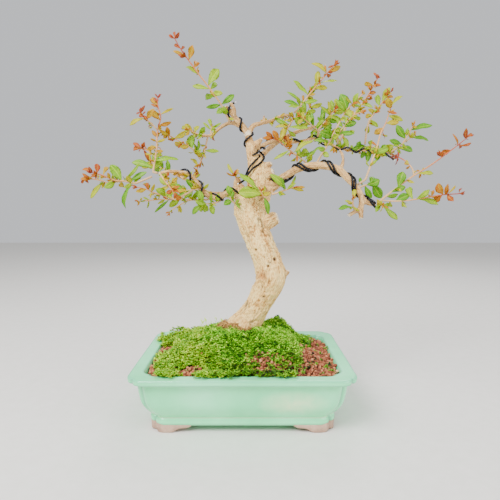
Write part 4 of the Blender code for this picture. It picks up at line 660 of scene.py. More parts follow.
back_rim = np.hstack([-126 + 60 * lip, 100.5 + rng.uniform(-2, 6, ON_RIM),
                      ON_LIP + rng.uniform(0, 7, ON_RIM)])
at = np.vstack([np.column_stack([x, y, z]), front, left_rim[lip[:, 0] < 0.5], back_rim])
starts, axes = sprigs(at, LEAVES_A_SPRIG, (2.6, 5.8), (0.55, 0.85), (-5, 55), rng)
leaf_points, leaf_faces = copies(ROUND, ROUND_FACES, starts, axes)
leaf_points[:, 1] = np.maximum(leaf_points[:, 1], 0.4 - RIM_HALF[1])
left = ease((-12 - at[:, 0]) / 50)
patchy = 0.34 * left + 0.4 * (rough(at, 11, 17) - 0.5) + rng.normal(0, 0.11, len(at))
tone = np.repeat(0.17 + patchy, LEAVES_A_SPRIG)[:, None]
# Each leaf is darkened at its stalk as painted shade down among the sprigs, and is paler towards its tip
tone = tone + np.array([-0.3, 0.05, 0.12, 0.2, 0.12, 0.05, -0.04])
tone = tone + rng.normal(0, 0.12, (len(tone), 1))
piece("plant_sprigs", leaf_points, leaf_faces, [plant_look], ["creeping_plants"],
      {"tone": np.clip(tone, 0, 1).ravel()})


def frames_along(route):
    """A tangent and two crossing directions at each point of a route, carried along without twist."""
    tangents = np.gradient(route, axis=0)
    tangents /= np.linalg.norm(tangents, axis=1)[:, None]
    side, sides = np.cross(tangents[0], (0.31, 0.93, 0.2)), []
    for tangent in tangents:
        side = side - tangent * side.dot(tangent)
        side /= np.linalg.norm(side)
        sides.append(side)
    return tangents, np.array(sides), np.cross(tangents, sides)


def tube(route, sides, start=0):
    """Points and triangles of a closed tube: a circle of the row's radius across the route at each row."""
    _, u, v = frames_along(route[:, :3])
    angle = 2 * np.pi * np.arange(sides) / sides
    circle = np.cos(angle)[None, :, None] * u[:, None] + np.sin(angle)[None, :, None] * v[:, None]
    rings = route[:, None, :3] + route[:, None, 3:4] * circle
    return np.vstack([route[:1, :3], rings.reshape(-1, 3), route[-1:, :3]]), skin(len(route), sides, start)


# The wisps of grass: the first few are tall, a third of them with a seed head, and most stand at the back
WISPS, TALL_WISPS, WISPS_BEHIND = 120, 22, 75
rng = np.random.default_rng(61)
wisps, wisp_faces, wisp_tone = [], [], []
for number in range(WISPS):
    tall = number < TALL_WISPS
    if number < WISPS_BEHIND:
        x0, y0 = rng.uniform(-85, -24), rng.uniform(15, 62)
    else:
        x0, y0 = rng.uniform(-110, 95), rng.uniform(-90, 60)
    height = rng.uniform(14, 24) if tall else rng.uniform(5, 13)
    lean = rng.normal(0, 0.35, 2) * height
    t = np.linspace(0, 1, 7)[:, None]
    ground = float(soil_height(x0, y0)) + 5
    rise = ground + height * t * (1 - 0.15 * t)
    line = np.hstack([x0 + lean[0] * t**1.6, y0 + lean[1] * t**1.6, rise, 0.42 - 0.3 * t])
    if tall and number % 3 == 0:
        line[-2:, 3] = (0.9, 0.7)
    points, faces = tube(line, 4, sum(map(len, wisps)))
    wisps.append(points)
    wisp_faces.append(faces)
    wisp_tone.append(np.concatenate([[0.4], np.repeat(0.35 + 0.5 * t[:, 0], 4), [0.95]]))
piece("grass_wisps", np.vstack(wisps), np.vstack(wisp_faces), [plant_look], ["creeping_plants"],
      {"tone": np.concatenate(wisp_tone)})


# The wood: trunk, limbs, snags and root flare, grown as one piece, with pale, fibrous, cracked bark. Each
# limb is a tube round a smooth route, and the tubes are fused into one skin, which lumps, flakes and fibres
# raise and cracks and holes sink. Routes are given as seen from the front: across and up in the trunk's
# plane, back from it, and radius.

EYE = np.array([10.0, -677.5, 301.0])
TRUNK_PLANE, ROUTE_LEVEL = 21.5, 11.0
TO_TRUNK = TRUNK_PLANE - EYE[1]
KNOT_STEP, WOOD_VOXEL, THINNEST = 2.2, 1.15, 1.3
TRUNK = (
    (-13, 66, 3, 20), (-9, 84, 2, 25), (-3, 98, 1, 25.5), (6, 112, 0, 21.5), (18, 129, -3, 19.6),
    (30, 152, -6, 19.8), (42, 181, -8, 22.6), (35, 209, -6, 20.6), (25, 233, -3, 20.4),
    (18, 252, 0, 21.2), (13, 270, 2, 23), (9, 287, 3, 23.6), (7, 300, 4, 20), (6, 307, 4, 13),
)
LIMBS = {
    "leader": ((19, 292, 2, 19), (24, 316, 2, 19), (24, 334, 3, 17), (19, 350, 4, 12.5), (14, 362, 5, 8.6),
               (12, 374, 6, 8), (9, 385, 7, 6), (7, 395, 8, 5.2)),
    "bend_burl": ((44, 182, -8, 17), (57, 185, -9, 10), (66, 188, -9, 4.8), (68.2, 191, -9, 3.2)),
    "knob": ((26, 262, -2, 14), (36, 265, -5, 12), (46, 269, -8, 11), (53, 271, -9, 7)),
    "leader_knob": ((28, 332, 0, 13), (38, 336, -4, 10), (46, 339, -6, 6)),
    "upper_snag": ((26, 342, 2, 10), (35, 348, 0, 6.5), (43, 352, -2, 3)),
    "fork_snag": ((13, 372, 6, 6.5), (20, 380, 4, 5.6), (28, 388, 2, 2.2)),
    "left_snag": ((0, 303, 2, 15), (-6, 314, 0, 9), (-9, 325, -2, 5.5), (-7, 331, -2, 3)),
    "right_snag": ((32, 311, -8, 9), (44, 315, -16, 6), (56, 320, -20, 2.2)),
    "apex_arm": ((7, 393, 8, 5), (-1, 407, 8, 4.4), (-11, 417, 9, 4.2), (-21, 430, 10, 3.6),
                 (-27, 435, 10, 2.4)),
    "apex_snag": ((-13, 419, 9, 3.6), (-14, 432, 4, 3), (-20, 441, 2, 1.8)),
    "left_upper": ((2, 402, 8, 3.7), (-8, 408, 11, 3.3), (-20, 411, 16, 3.1), (-34, 404, 20, 2.8),
                   (-46, 394, 22, 2.6), (-56, 392, 20, 2.2), (-72, 395, 14, 1.8)),
    "right_upper": ((7, 393, 8, 4.3), (14, 406, 12, 3.8), (25, 410, 20, 3.3), (41, 414, 34, 2.9),
                    (57, 421, 48, 2.4), (73, 423, 58, 1.9)),
    "spike": ((30, 411, 24, 3), (31, 422, 24, 1.2)),
    "left_low": ((6, 304, 2, 9.8), (-10, 312, -3, 6.6), (-25, 307, -10, 4.9), (-38, 302, -16, 4.4),
                 (-50, 302, -22, 3.8), (-63, 314, -28, 3.4), (-71, 326, -34, 3.1), (-82, 336, -39, 2.9),
                 (-95, 339, -43, 2.5), (-112, 340, -46, 2.3), (-126, 337, -47, 2)),
    "middle": ((12, 364, 5, 4.4), (24, 375, 14, 3.7), (40, 383, 30, 3.3), (58, 384, 46, 3),
               (74, 383, 58, 2.8), (90, 385, 66, 2.7), (106, 388, 70, 2.6), (129, 380, 66, 2.4),
               (156, 371, 56, 2.2), (178, 371, 46, 1.9), (204, 370, 36, 1.8), (228, 363, 28, 1.5)),
    "low_right": ((20, 312, 0, 8.8), (36, 318, -10, 6.4), (48, 324, -20, 5.6), (61, 332, -30, 5.3),
                  (78, 342, -40, 5.2), (94, 347, -47, 5.1), (111, 349, -53, 5.1), (128, 347, -59, 5),
                  (144, 342, -64, 4.9), (155, 331, -68, 4.6), (168, 318, -72, 4.3), (175, 308, -74, 4.2),
                  (178, 296, -76, 3.9), (177, 284, -77, 3.8), (178, 269, -78, 2.9)),
    "low_stub": ((177, 285, -77, 3.2), (168, 280, -78, 2.9), (158, 274, -80, 2.6)),
    "low_turn": ((176, 304, -75, 3.7), (186, 294, -76, 3.5), (200, 290, -77, 2.7)),
    "upright": ((144, 342, -64, 3.4), (149, 354, -56, 2.3), (147, 366, -50, 2), (143, 372, -47, 1.7)),
    "back_right": ((16, 352, 10, 8), (30, 366, 36, 4.6), (52, 384, 66, 3.8), (80, 398, 92, 3.2),
                   (108, 406, 112, 2.4)),
    "back_left": ((0, 304, 12, 10), (-24, 306, 40, 5), (-52, 308, 66, 3.8), (-82, 326, 88, 3),
                  (-106, 338, 104, 2.2)),
}
ROOTS = {
    "root_left": ((-4, 112, -2, 14), (-20, 101, -6, 11), (-32, 86, -9, 7)),
    "root_front": ((2, 112, -8, 13), (0, 99, -20, 10), (-3, 84, -27, 7)),
    "root_right": ((10, 112, -2, 13), (20, 98, -5, 10), (27, 84, -7, 7)),
}


def seen_at(across, up, back):
    """A point seen from the front, moved back along its line of sight: its offset from the eye, scaled."""
    spread = 1 + np.asarray(back, float) / TO_TRUNK
    rise = np.asarray(up, float) + ROUTE_LEVEL - EYE[2]
    return np.stack(np.broadcast_arrays(EYE[0] + (np.asarray(across, float) - EYE[0]) * spread,
                                        TRUNK_PLANE + np.asarray(back, float), EYE[2] + rise * spread), -1)


def placed(knots):
    """Knots (across, up, back, radius) as points in space with their radius."""
    k = np.array(knots, float)
    return np.column_stack([seen_at(k[:, 0], k[:, 1], k[:, 2]), k[:, 3]])


WOOD = {name: smooth_line(placed(knots), KNOT_STEP)
        for name, knots in {"trunk": TRUNK, **LIMBS, **ROOTS}.items()}
WOOD_ROWS = np.vstack(list(WOOD.values()))
tubes, tube_faces = [], []
for name, route in WOOD.items():
    route = route.copy()
    route[:, 3] = np.maximum(route[:, 3], THINNEST)
    sides = int(np.clip(route[:, 3].max() * 2.4, 10, 44))
    points, faces = tube(route, sides, sum(map(len, tubes)))
    tubes.append(points)
    tube_faces.append(faces)
raw = bpy.data.meshes.new("raw_wood")
raw.from_pydata((np.vstack(tubes) * MM).tolist(), [], np.vstack(tube_faces).tolist())
raw_wood = bpy.data.objects.new("raw_wood", raw)
bpy.context.scene.collection.objects.link(raw_wood)
fuse = raw_wood.modifiers.new("fuse", "REMESH")
fuse.mode, fuse.voxel_size = "VOXEL", WOOD_VOXEL * MM
ease_seams = raw_wood.modifiers.new("ease_seams", "SMOOTH")
ease_seams.factor, ease_seams.iterations = 0.5, 4
skinned = bpy.data.meshes.new_from_object(raw_wood.evaluated_get(bpy.context.evaluated_depsgraph_get()))
bpy.data.objects.remove(raw_wood)


def mesh_arrays(mesh):
    """A mesh's points in millimetres, its normals, and its triangles."""
    mesh.calc_loop_triangles()
    points, normals = (np.empty(3 * len(mesh.vertices), np.float32) for _ in "pn")
    mesh.vertices.foreach_get("co", points)
    mesh.vertices.foreach_get("normal", normals)
    faces = np.empty(3 * len(mesh.loop_triangles), np.int32)
    mesh.loop_triangles.foreach_get("vertices", faces)
    return points.reshape(-1, 3) / MM, normals.reshape(-1, 3), faces.reshape(-1, 3)


wood_points, wood_normals, wood_faces = mesh_arrays(skinned)


def off_the_wood(points):
    """How far each point lies from each row of the limbs' routes, less the row's radius."""
    return np.sqrt(((points[:, None, :3] - WOOD_ROWS[None, :, :3]) ** 2).sum(axis=2)) - WOOD_ROWS[:, 3]


nearest = np.concatenate([off_the_wood(wood_points[first : first + 6000]).argmin(axis=1)
                          for first in range(0, len(wood_points), 6000)])
limb_of = np.repeat(np.arange(len(WOOD)), [len(route) for route in WOOD.values()])
along = np.concatenate([np.concatenate([[0], np.cumsum(np.linalg.norm(np.diff(r[:, :3], axis=0), axis=1))])
                        for r in WOOD.values()])
turns = [frames_along(route[:, :3]) for route in WOOD.values()]
side_u, side_v = np.vstack([t[1] for t in turns]), np.vstack([t[2] for t in turns])
heads = np.vstack([t[0] for t in turns])
offset = wood_points - WOOD_ROWS[nearest, :3]
down_limb = along[nearest] + np.einsum("nc,nc->n", offset, heads[nearest])
# A place on the bark, for its patterns: across the limb both ways, and a third of the length along it, so
# that each pattern is stretched along the fibres
bark_at = np.column_stack([np.einsum("nc,nc->n", offset, side_u[nearest]),
                           np.einsum("nc,nc->n", offset, side_v[nearest]),
                           down_limb * 0.34]) + limb_of[nearest, None] * 37.0
thick = WOOD_ROWS[nearest, 3]
stout = ease((thick - 4) / 12)
fibre = rough(bark_at, 2.4, 21) - 0.5
strand = rough(bark_at, 1.2, 22) - 0.5
lump = rough(wood_points, 19, 23) - 0.5 + 0.5 * (rough(wood_points, 8, 24) - 0.5)
split = np.abs(rough(bark_at, 4.6, 25) - 0.5)
crack = np.exp(-(split / 0.03) ** 2) * ease((rough(wood_points, 14, 26) - 0.52) / 0.1)
flaky = bark_at * (1, 1, 2.2)
flakes = np.abs(rough(flaky, 5.2, 27) - 0.5) + 0.7 * np.abs(rough(flaky, 2.6, 28) - 0.5)
# The relief in millimetres: lumps, flakes and fibres on stout wood, strands on all of it, and cracks sunk in
raise_by = stout * (2.0 * lump + 0.7 * fibre + 3.4 * flakes) + 0.5 * strand + 0.35 * fibre * (1 - stout)
raise_by -= (0.25 + 0.6 * stout) * crack + 0.9 * stout


def beside_sight(across, up):
    """The line of sight through a place in the trunk's plane, and how far each point on the wood lies from
    it: the length of their cross product."""
    line = seen_at(across, up, 0) - EYE
    line /= np.linalg.norm(line)
    return line, np.linalg.norm(np.cross(wood_points - EYE, line), axis=1)


# The holes in the trunk's front: across, up, reach and depth of each, and the rusty patch at the bend
HOLES = ((37.5, 197.4, 2.0, 3.0), (48.1, 208.1, 2.6, 2.0), (19, 222, 1.6, 1.5), (31, 150, 1.7, 1.2))
RUST_AT, RUST_REACH = (28.3, 182), 6.5
# The holes are sunk into the wood, and their mask is kept to darken them with painted shade
hole_shade = np.zeros(len(wood_points))
in_front = np.abs(wood_points[:, 1] - TRUNK_PLANE) < 40
for across, up, reach, deep in HOLES:
    line, beside = beside_sight(across, up)
    facing = np.einsum("nc,c->n", wood_normals, line) < -0.25
    pit = np.exp(-((beside / reach) ** 4)) * facing * in_front
    hole_shade = np.maximum(hole_shade, pit)
    raise_by -= deep * pit
wood_points = wood_points + wood_normals * raise_by[:, None]

# The sawn ends: what lies close to the tip of a limb over 1.7 mm thick
tips = np.array([route[-1] for name, route in WOOD.items() if name not in ROOTS and name != "trunk"])
cut = np.zeros(len(wood_points))
for tip in tips[tips[:, 3] > 1.7]:
    cut = np.maximum(cut, np.linalg.norm(wood_points - tip[:3], axis=1) < 1.15 * tip[3])
_, beside = beside_sight(*RUST_AT)
rust = np.exp(-((beside / RUST_REACH) ** 2)) * (wood_normals[:, 1] < -0.1)
foot = ease((126 - wood_points[:, 2]) / 18)
# Painted shade: the sunk cracks, the holes and the hollows between the raised flakes are darkened as if in
# shadow, and the wood darkens a little towards the foot
painted_shade_and_foot = np.clip(crack * 0.7 + hole_shade + 0.3 * foot * (fibre + 0.5)
               + 3.6 * stout * np.maximum(0.1 - flakes, 0), 0, 1)

bark, tree, shader = new_look("pomegranate_bark", Roughness=0.86)
# Living bark, weathered: matt and fibrous, straw-coloured on the trunk with tan streaks, browner on the thin
# limbs and at the foot, one rusty patch at the bend, and pale sawn faces on stubs. The cracks, 1 mm wide,
# the holes and the hollows between the flakes are darkened with painted shade
fibres_at = add(tree, "ShaderNodeAttribute", {}, attribute_name="bark_at").outputs["Vector"]
streaks = add(tree, "ShaderNodeTexNoise",
              {"Vector": fibres_at, "Scale": 0.55, "Detail": 8.0, "Roughness": 0.68})
bands = add(tree, "ShaderNodeTexNoise", {"Vector": fibres_at, "Scale": 0.11, "Detail": 3.0, "Roughness": 0.6})
blend = add(tree, "ShaderNodeMath", {0: bands.outputs["Fac"], 1: 0.45, 2: -0.22}, operation="MULTIPLY_ADD")
toned = add(tree, "ShaderNodeMath", {0: blend.outputs[0], 1: streaks.outputs["Fac"]}, operation="ADD")
pale = add(tree, "ShaderNodeValToRGB", {"Fac": toned.outputs[0]},
           [(0.32, "94602A"), (0.41, "CC9850"), (0.48, "ECC074"), (0.6, "F8D68C"), (0.75, "FFE8AA")])
brown = add(tree, "ShaderNodeValToRGB", {"Fac": toned.outputs[0]},
            [(0.3, "6E4626"), (0.43, "A67A44"), (0.57, "CEA268"), (0.75, "E6C690")])
thin = add(tree, "ShaderNodeAttribute", {}, attribute_name="thin_wood")
limbs = add(tree, "ShaderNodeMix", {"Factor": thin.outputs["Fac"], 6: pale.outputs[0], 7: brown.outputs[0]},
            data_type="RGBA")
rusty = add(tree, "ShaderNodeAttribute", {}, attribute_name="rust")
rusted = add(tree, "ShaderNodeMix",
             {"Factor": rusty.outputs["Fac"], 6: limbs.outputs[2], 7: linear("B4702C")}, data_type="RGBA")
sawn = add(tree, "ShaderNodeAttribute", {}, attribute_name="sawn")
faced = add(tree, "ShaderNodeMix", {"Factor": sawn.outputs["Fac"], 6: rusted.outputs[2], 7: linear("EEDDBE")},
            data_type="RGBA")
# Painted shade: the marked cracks, holes and hollows are mixed towards a dark brown
shade = add(tree, "ShaderNodeAttribute", {}, attribute_name="painted_shade_and_foot")
shade_darkened = add(tree, "ShaderNodeMix",
              {"Factor": shade.outputs["Fac"], 6: faced.outputs[2], 7: linear("3C2818")}, data_type="RGBA")
tree.links.new(shade_darkened.outputs[2], shader.inputs["Base Color"])
ridged = add(tree, "ShaderNodeBump", {"Height": streaks.outputs["Fac"], "Strength": 0.9, "Distance": 0.002})
tree.links.new(ridged.outputs[0], shader.inputs["Normal"])
thin_wood = np.clip(1.0 - ease((thick - 3) / 14) + 0.35 * foot, 0, 1) * 0.9
piece("bark_skin", wood_points, wood_faces, [bark], ["trunk"],
      {"bark_at": bark_at, "thin_wood": thin_wood, "rust": rust * 0.85, "sawn": cut * 0.9, "painted_shade_and_foot": painted_shade_and_foot})


# The collar of roots: old brown root hairs matted round the trunk's foot, on the left and in front, where the
# soil has washed away. Each is a thin curved fibre whose ends bend down into the moss.

ROOT_HAIRS = 320
rng = np.random.default_rng(71)
hairs, hair_faces = [], []
for _ in range(ROOT_HAIRS):
    bearing = math.radians(rng.uniform(165, 300))
    out = rng.uniform(21, 33)
    x0, y0 = -6 + out * math.cos(bearing), 21 + 0.9 * out * math.sin(bearing)
    z0 = float(soil_height(x0, y0)) + 15 - 0.5 * (out - 21) + rng.uniform(-2, 2)
    turn = bearing + rng.normal(1.57, 0.9)
    t = np.linspace(-1, 1, 7)[:, None]
    long = rng.uniform(4, 11)
    sway = rng.normal(0, 1.3, 3)
    line = np.hstack([x0 + long * t * math.cos(turn) + sway[0] * t**2,
                      y0 + 0.75 * long * t * math.sin(turn) + sway[1] * t**2,
                      z0 - 2.6 * t**2 + sway[2] * t, 0.5 - 0.25 * t**2])
    points, faces = tube(line, 5, sum(map(len, hairs)))
    hairs.append(points)
    hair_faces.append(faces)

felt, tree, shader = new_look("root_hair", Roughness=0.9)
# Dead root fibres: matt, from dark umber to straw brown
spot_in = add(tree, "ShaderNodeTexCoord", {}).outputs["Object"]
mottle = add(tree, "ShaderNodeTexNoise", {"Vector": spot_in, "Scale": 380.0, "Detail": 3.0})
umber = add(tree, "ShaderNodeValToRGB", {"Fac": mottle.outputs["Fac"]},
            [(0.35, "5E3E1C"), (0.5, "9C7236"), (0.65, "C8A45C")])
tree.links.new(umber.outputs[0], shader.inputs["Base Color"])
piece("root_collar", np.vstack(hairs), np.vstack(hair_faces), [felt], ["trunk"])


# The training wires: five lengths of black anodised aluminium wire, 3 mm thick, wound round the limbs by hand
# to bend them. Each is a helix on its limbs' surface, with a bright cut at both ends.

WIRE_RADIUS, WIRE_CLEAR, WIRE_SIDES = 1.5, 0.6, 12
# Knots before and after the helix, where a wire crosses a thick or a crooked limb in open loops
WIRE_HEADS = {
    "wire_apex": ((2, 330, -6), (9, 346, -10), (18, 356, -9), (24, 362, 3), (17, 366, 14)),
    "wire_middle": ((-9, 321, -16), (1, 327, -13), (7, 336, -12), (15, 345, -13), (25, 352, -9), (31, 360, 2),
                    (27, 367, 10), (22, 371, 16)),
}
WIRE_TAILS = {
    "wire_apex": ((-18, 437, 12), (-11, 441, 6)),
    "wire_middle": ((142, 372, 57), (156, 375, 50), (168, 368, 46), (180, 374, 44), (194, 367, 36),
                    (206, 373, 34), (215, 364, 28), (221, 360, 24), (226, 355.5, 22)),
    "wire_low_right_a": ((203, 289.5, -80),),
}
# Each wire's stretches of limb, as (limb, first knot, last knot), its turns, and the angle that it starts at
WIRES = {
    "wire_apex": ((("leader", 4, 8), ("apex_arm", 1, 4)), 3.0, 1.98),
    "wire_middle": ((("middle", 1, 8),), 3.5, 2.0),
    "wire_low_right_a": ((("low_right", 1, 12), ("low_turn", 1, 3)), 4.6, 4.45),
    "wire_low_right_b": ((("low_right", 1, 12), ("low_turn", 1, 3)), 4.6, 3.55),
    "wire_low_left": ((("left_low", 1, 9),), 3.6, 0.6),
}
anodised, tree, shader = new_look("black_anodised_aluminium", Metallic=0.85, Roughness=0.42)
# Aluminium wire, anodised black and bent by hand: a dull dark metal with fine handling scuffs
spot_in = add(tree, "ShaderNodeTexCoord", {}).outputs["Object"]
scuffs = add(tree, "ShaderNodeTexNoise", {"Vector": spot_in, "Scale": 500.0, "Detail": 5.0, "Roughness": 0.7})
scuffed = add(tree, "ShaderNodeValToRGB", {"Fac": scuffs.outputs["Fac"]}, [(0.5, "17171A"), (0.72, "4A4A4E")])
tree.links.new(scuffed.outputs[0], shader.inputs["Base Color"])
bright, tree, shader = new_look("cut_aluminium", Metallic=0.9, Roughness=0.35)
# Bare aluminium where the cutters went through: bright grey with drag lines
spot_in = add(tree, "ShaderNodeTexCoord", {}).outputs["Object"]
drag = add(tree, "ShaderNodeTexNoise", {"Vector": spot_in, "Scale": 1500.0, "Detail": 2.0})
dragged = add(tree, "ShaderNodeValToRGB", {"Fac": drag.outputs["Fac"]}, [(0.3, "C9CBCE"), (0.7, "F0F0F0")])
tree.links.new(dragged.outputs[0], shader.inputs["Base Color"])

for name, (stretches, turns_made, start) in WIRES.items():
    core = smooth_line(np.vstack([placed(LIMBS[limb][first:last]) for limb, first, last in stretches]), 4.0)
    _, u, v = frames_along(core[:, :3])
    angle = (start + 2 * math.pi * turns_made * np.arange(len(core)) / (len(core) - 1))[:, None]
    helix = core[:, :3] + (core[:, 3:] + WIRE_RADIUS + WIRE_CLEAR) * (np.cos(angle) * u + np.sin(angle) * v)
    head, tail = ([seen_at(*knot) for knot in held.get(name, ())] for held in (WIRE_HEADS, WIRE_TAILS))
    line = smooth_line(np.vstack([*head, helix, *tail]), 0.9)
    strand_line = np.column_stack([line, np.full(len(line), WIRE_RADIUS)])
    strand_line[[0, -1], 3] = 0.75 * WIRE_RADIUS
    points, faces = tube(strand_line, WIRE_SIDES)
    cut_end = 1 + 3 * WIRE_SIDES
    ends = (faces < cut_end).all(axis=1) | (faces >= len(points) - cut_end).all(axis=1)
    piece(name.replace("wire", "training_wire"), points, faces, [anodised, bright], [name],
          look_of=ends)


# The leafy shoots: young stems, pinkish tan and redder towards their tips, with small oblong leaves, lime
# green inside the crown and yellow, orange and red at the shoots' ends. One piece for each shoot. A shoot's
# table has its stems, as rows of (across, up, back), of which the first starts on the wood and the others on
# the first, and its leaves, as (stem, share of the stem's length, across and up of the tip, width). Spurs
# with small leaves fill in.

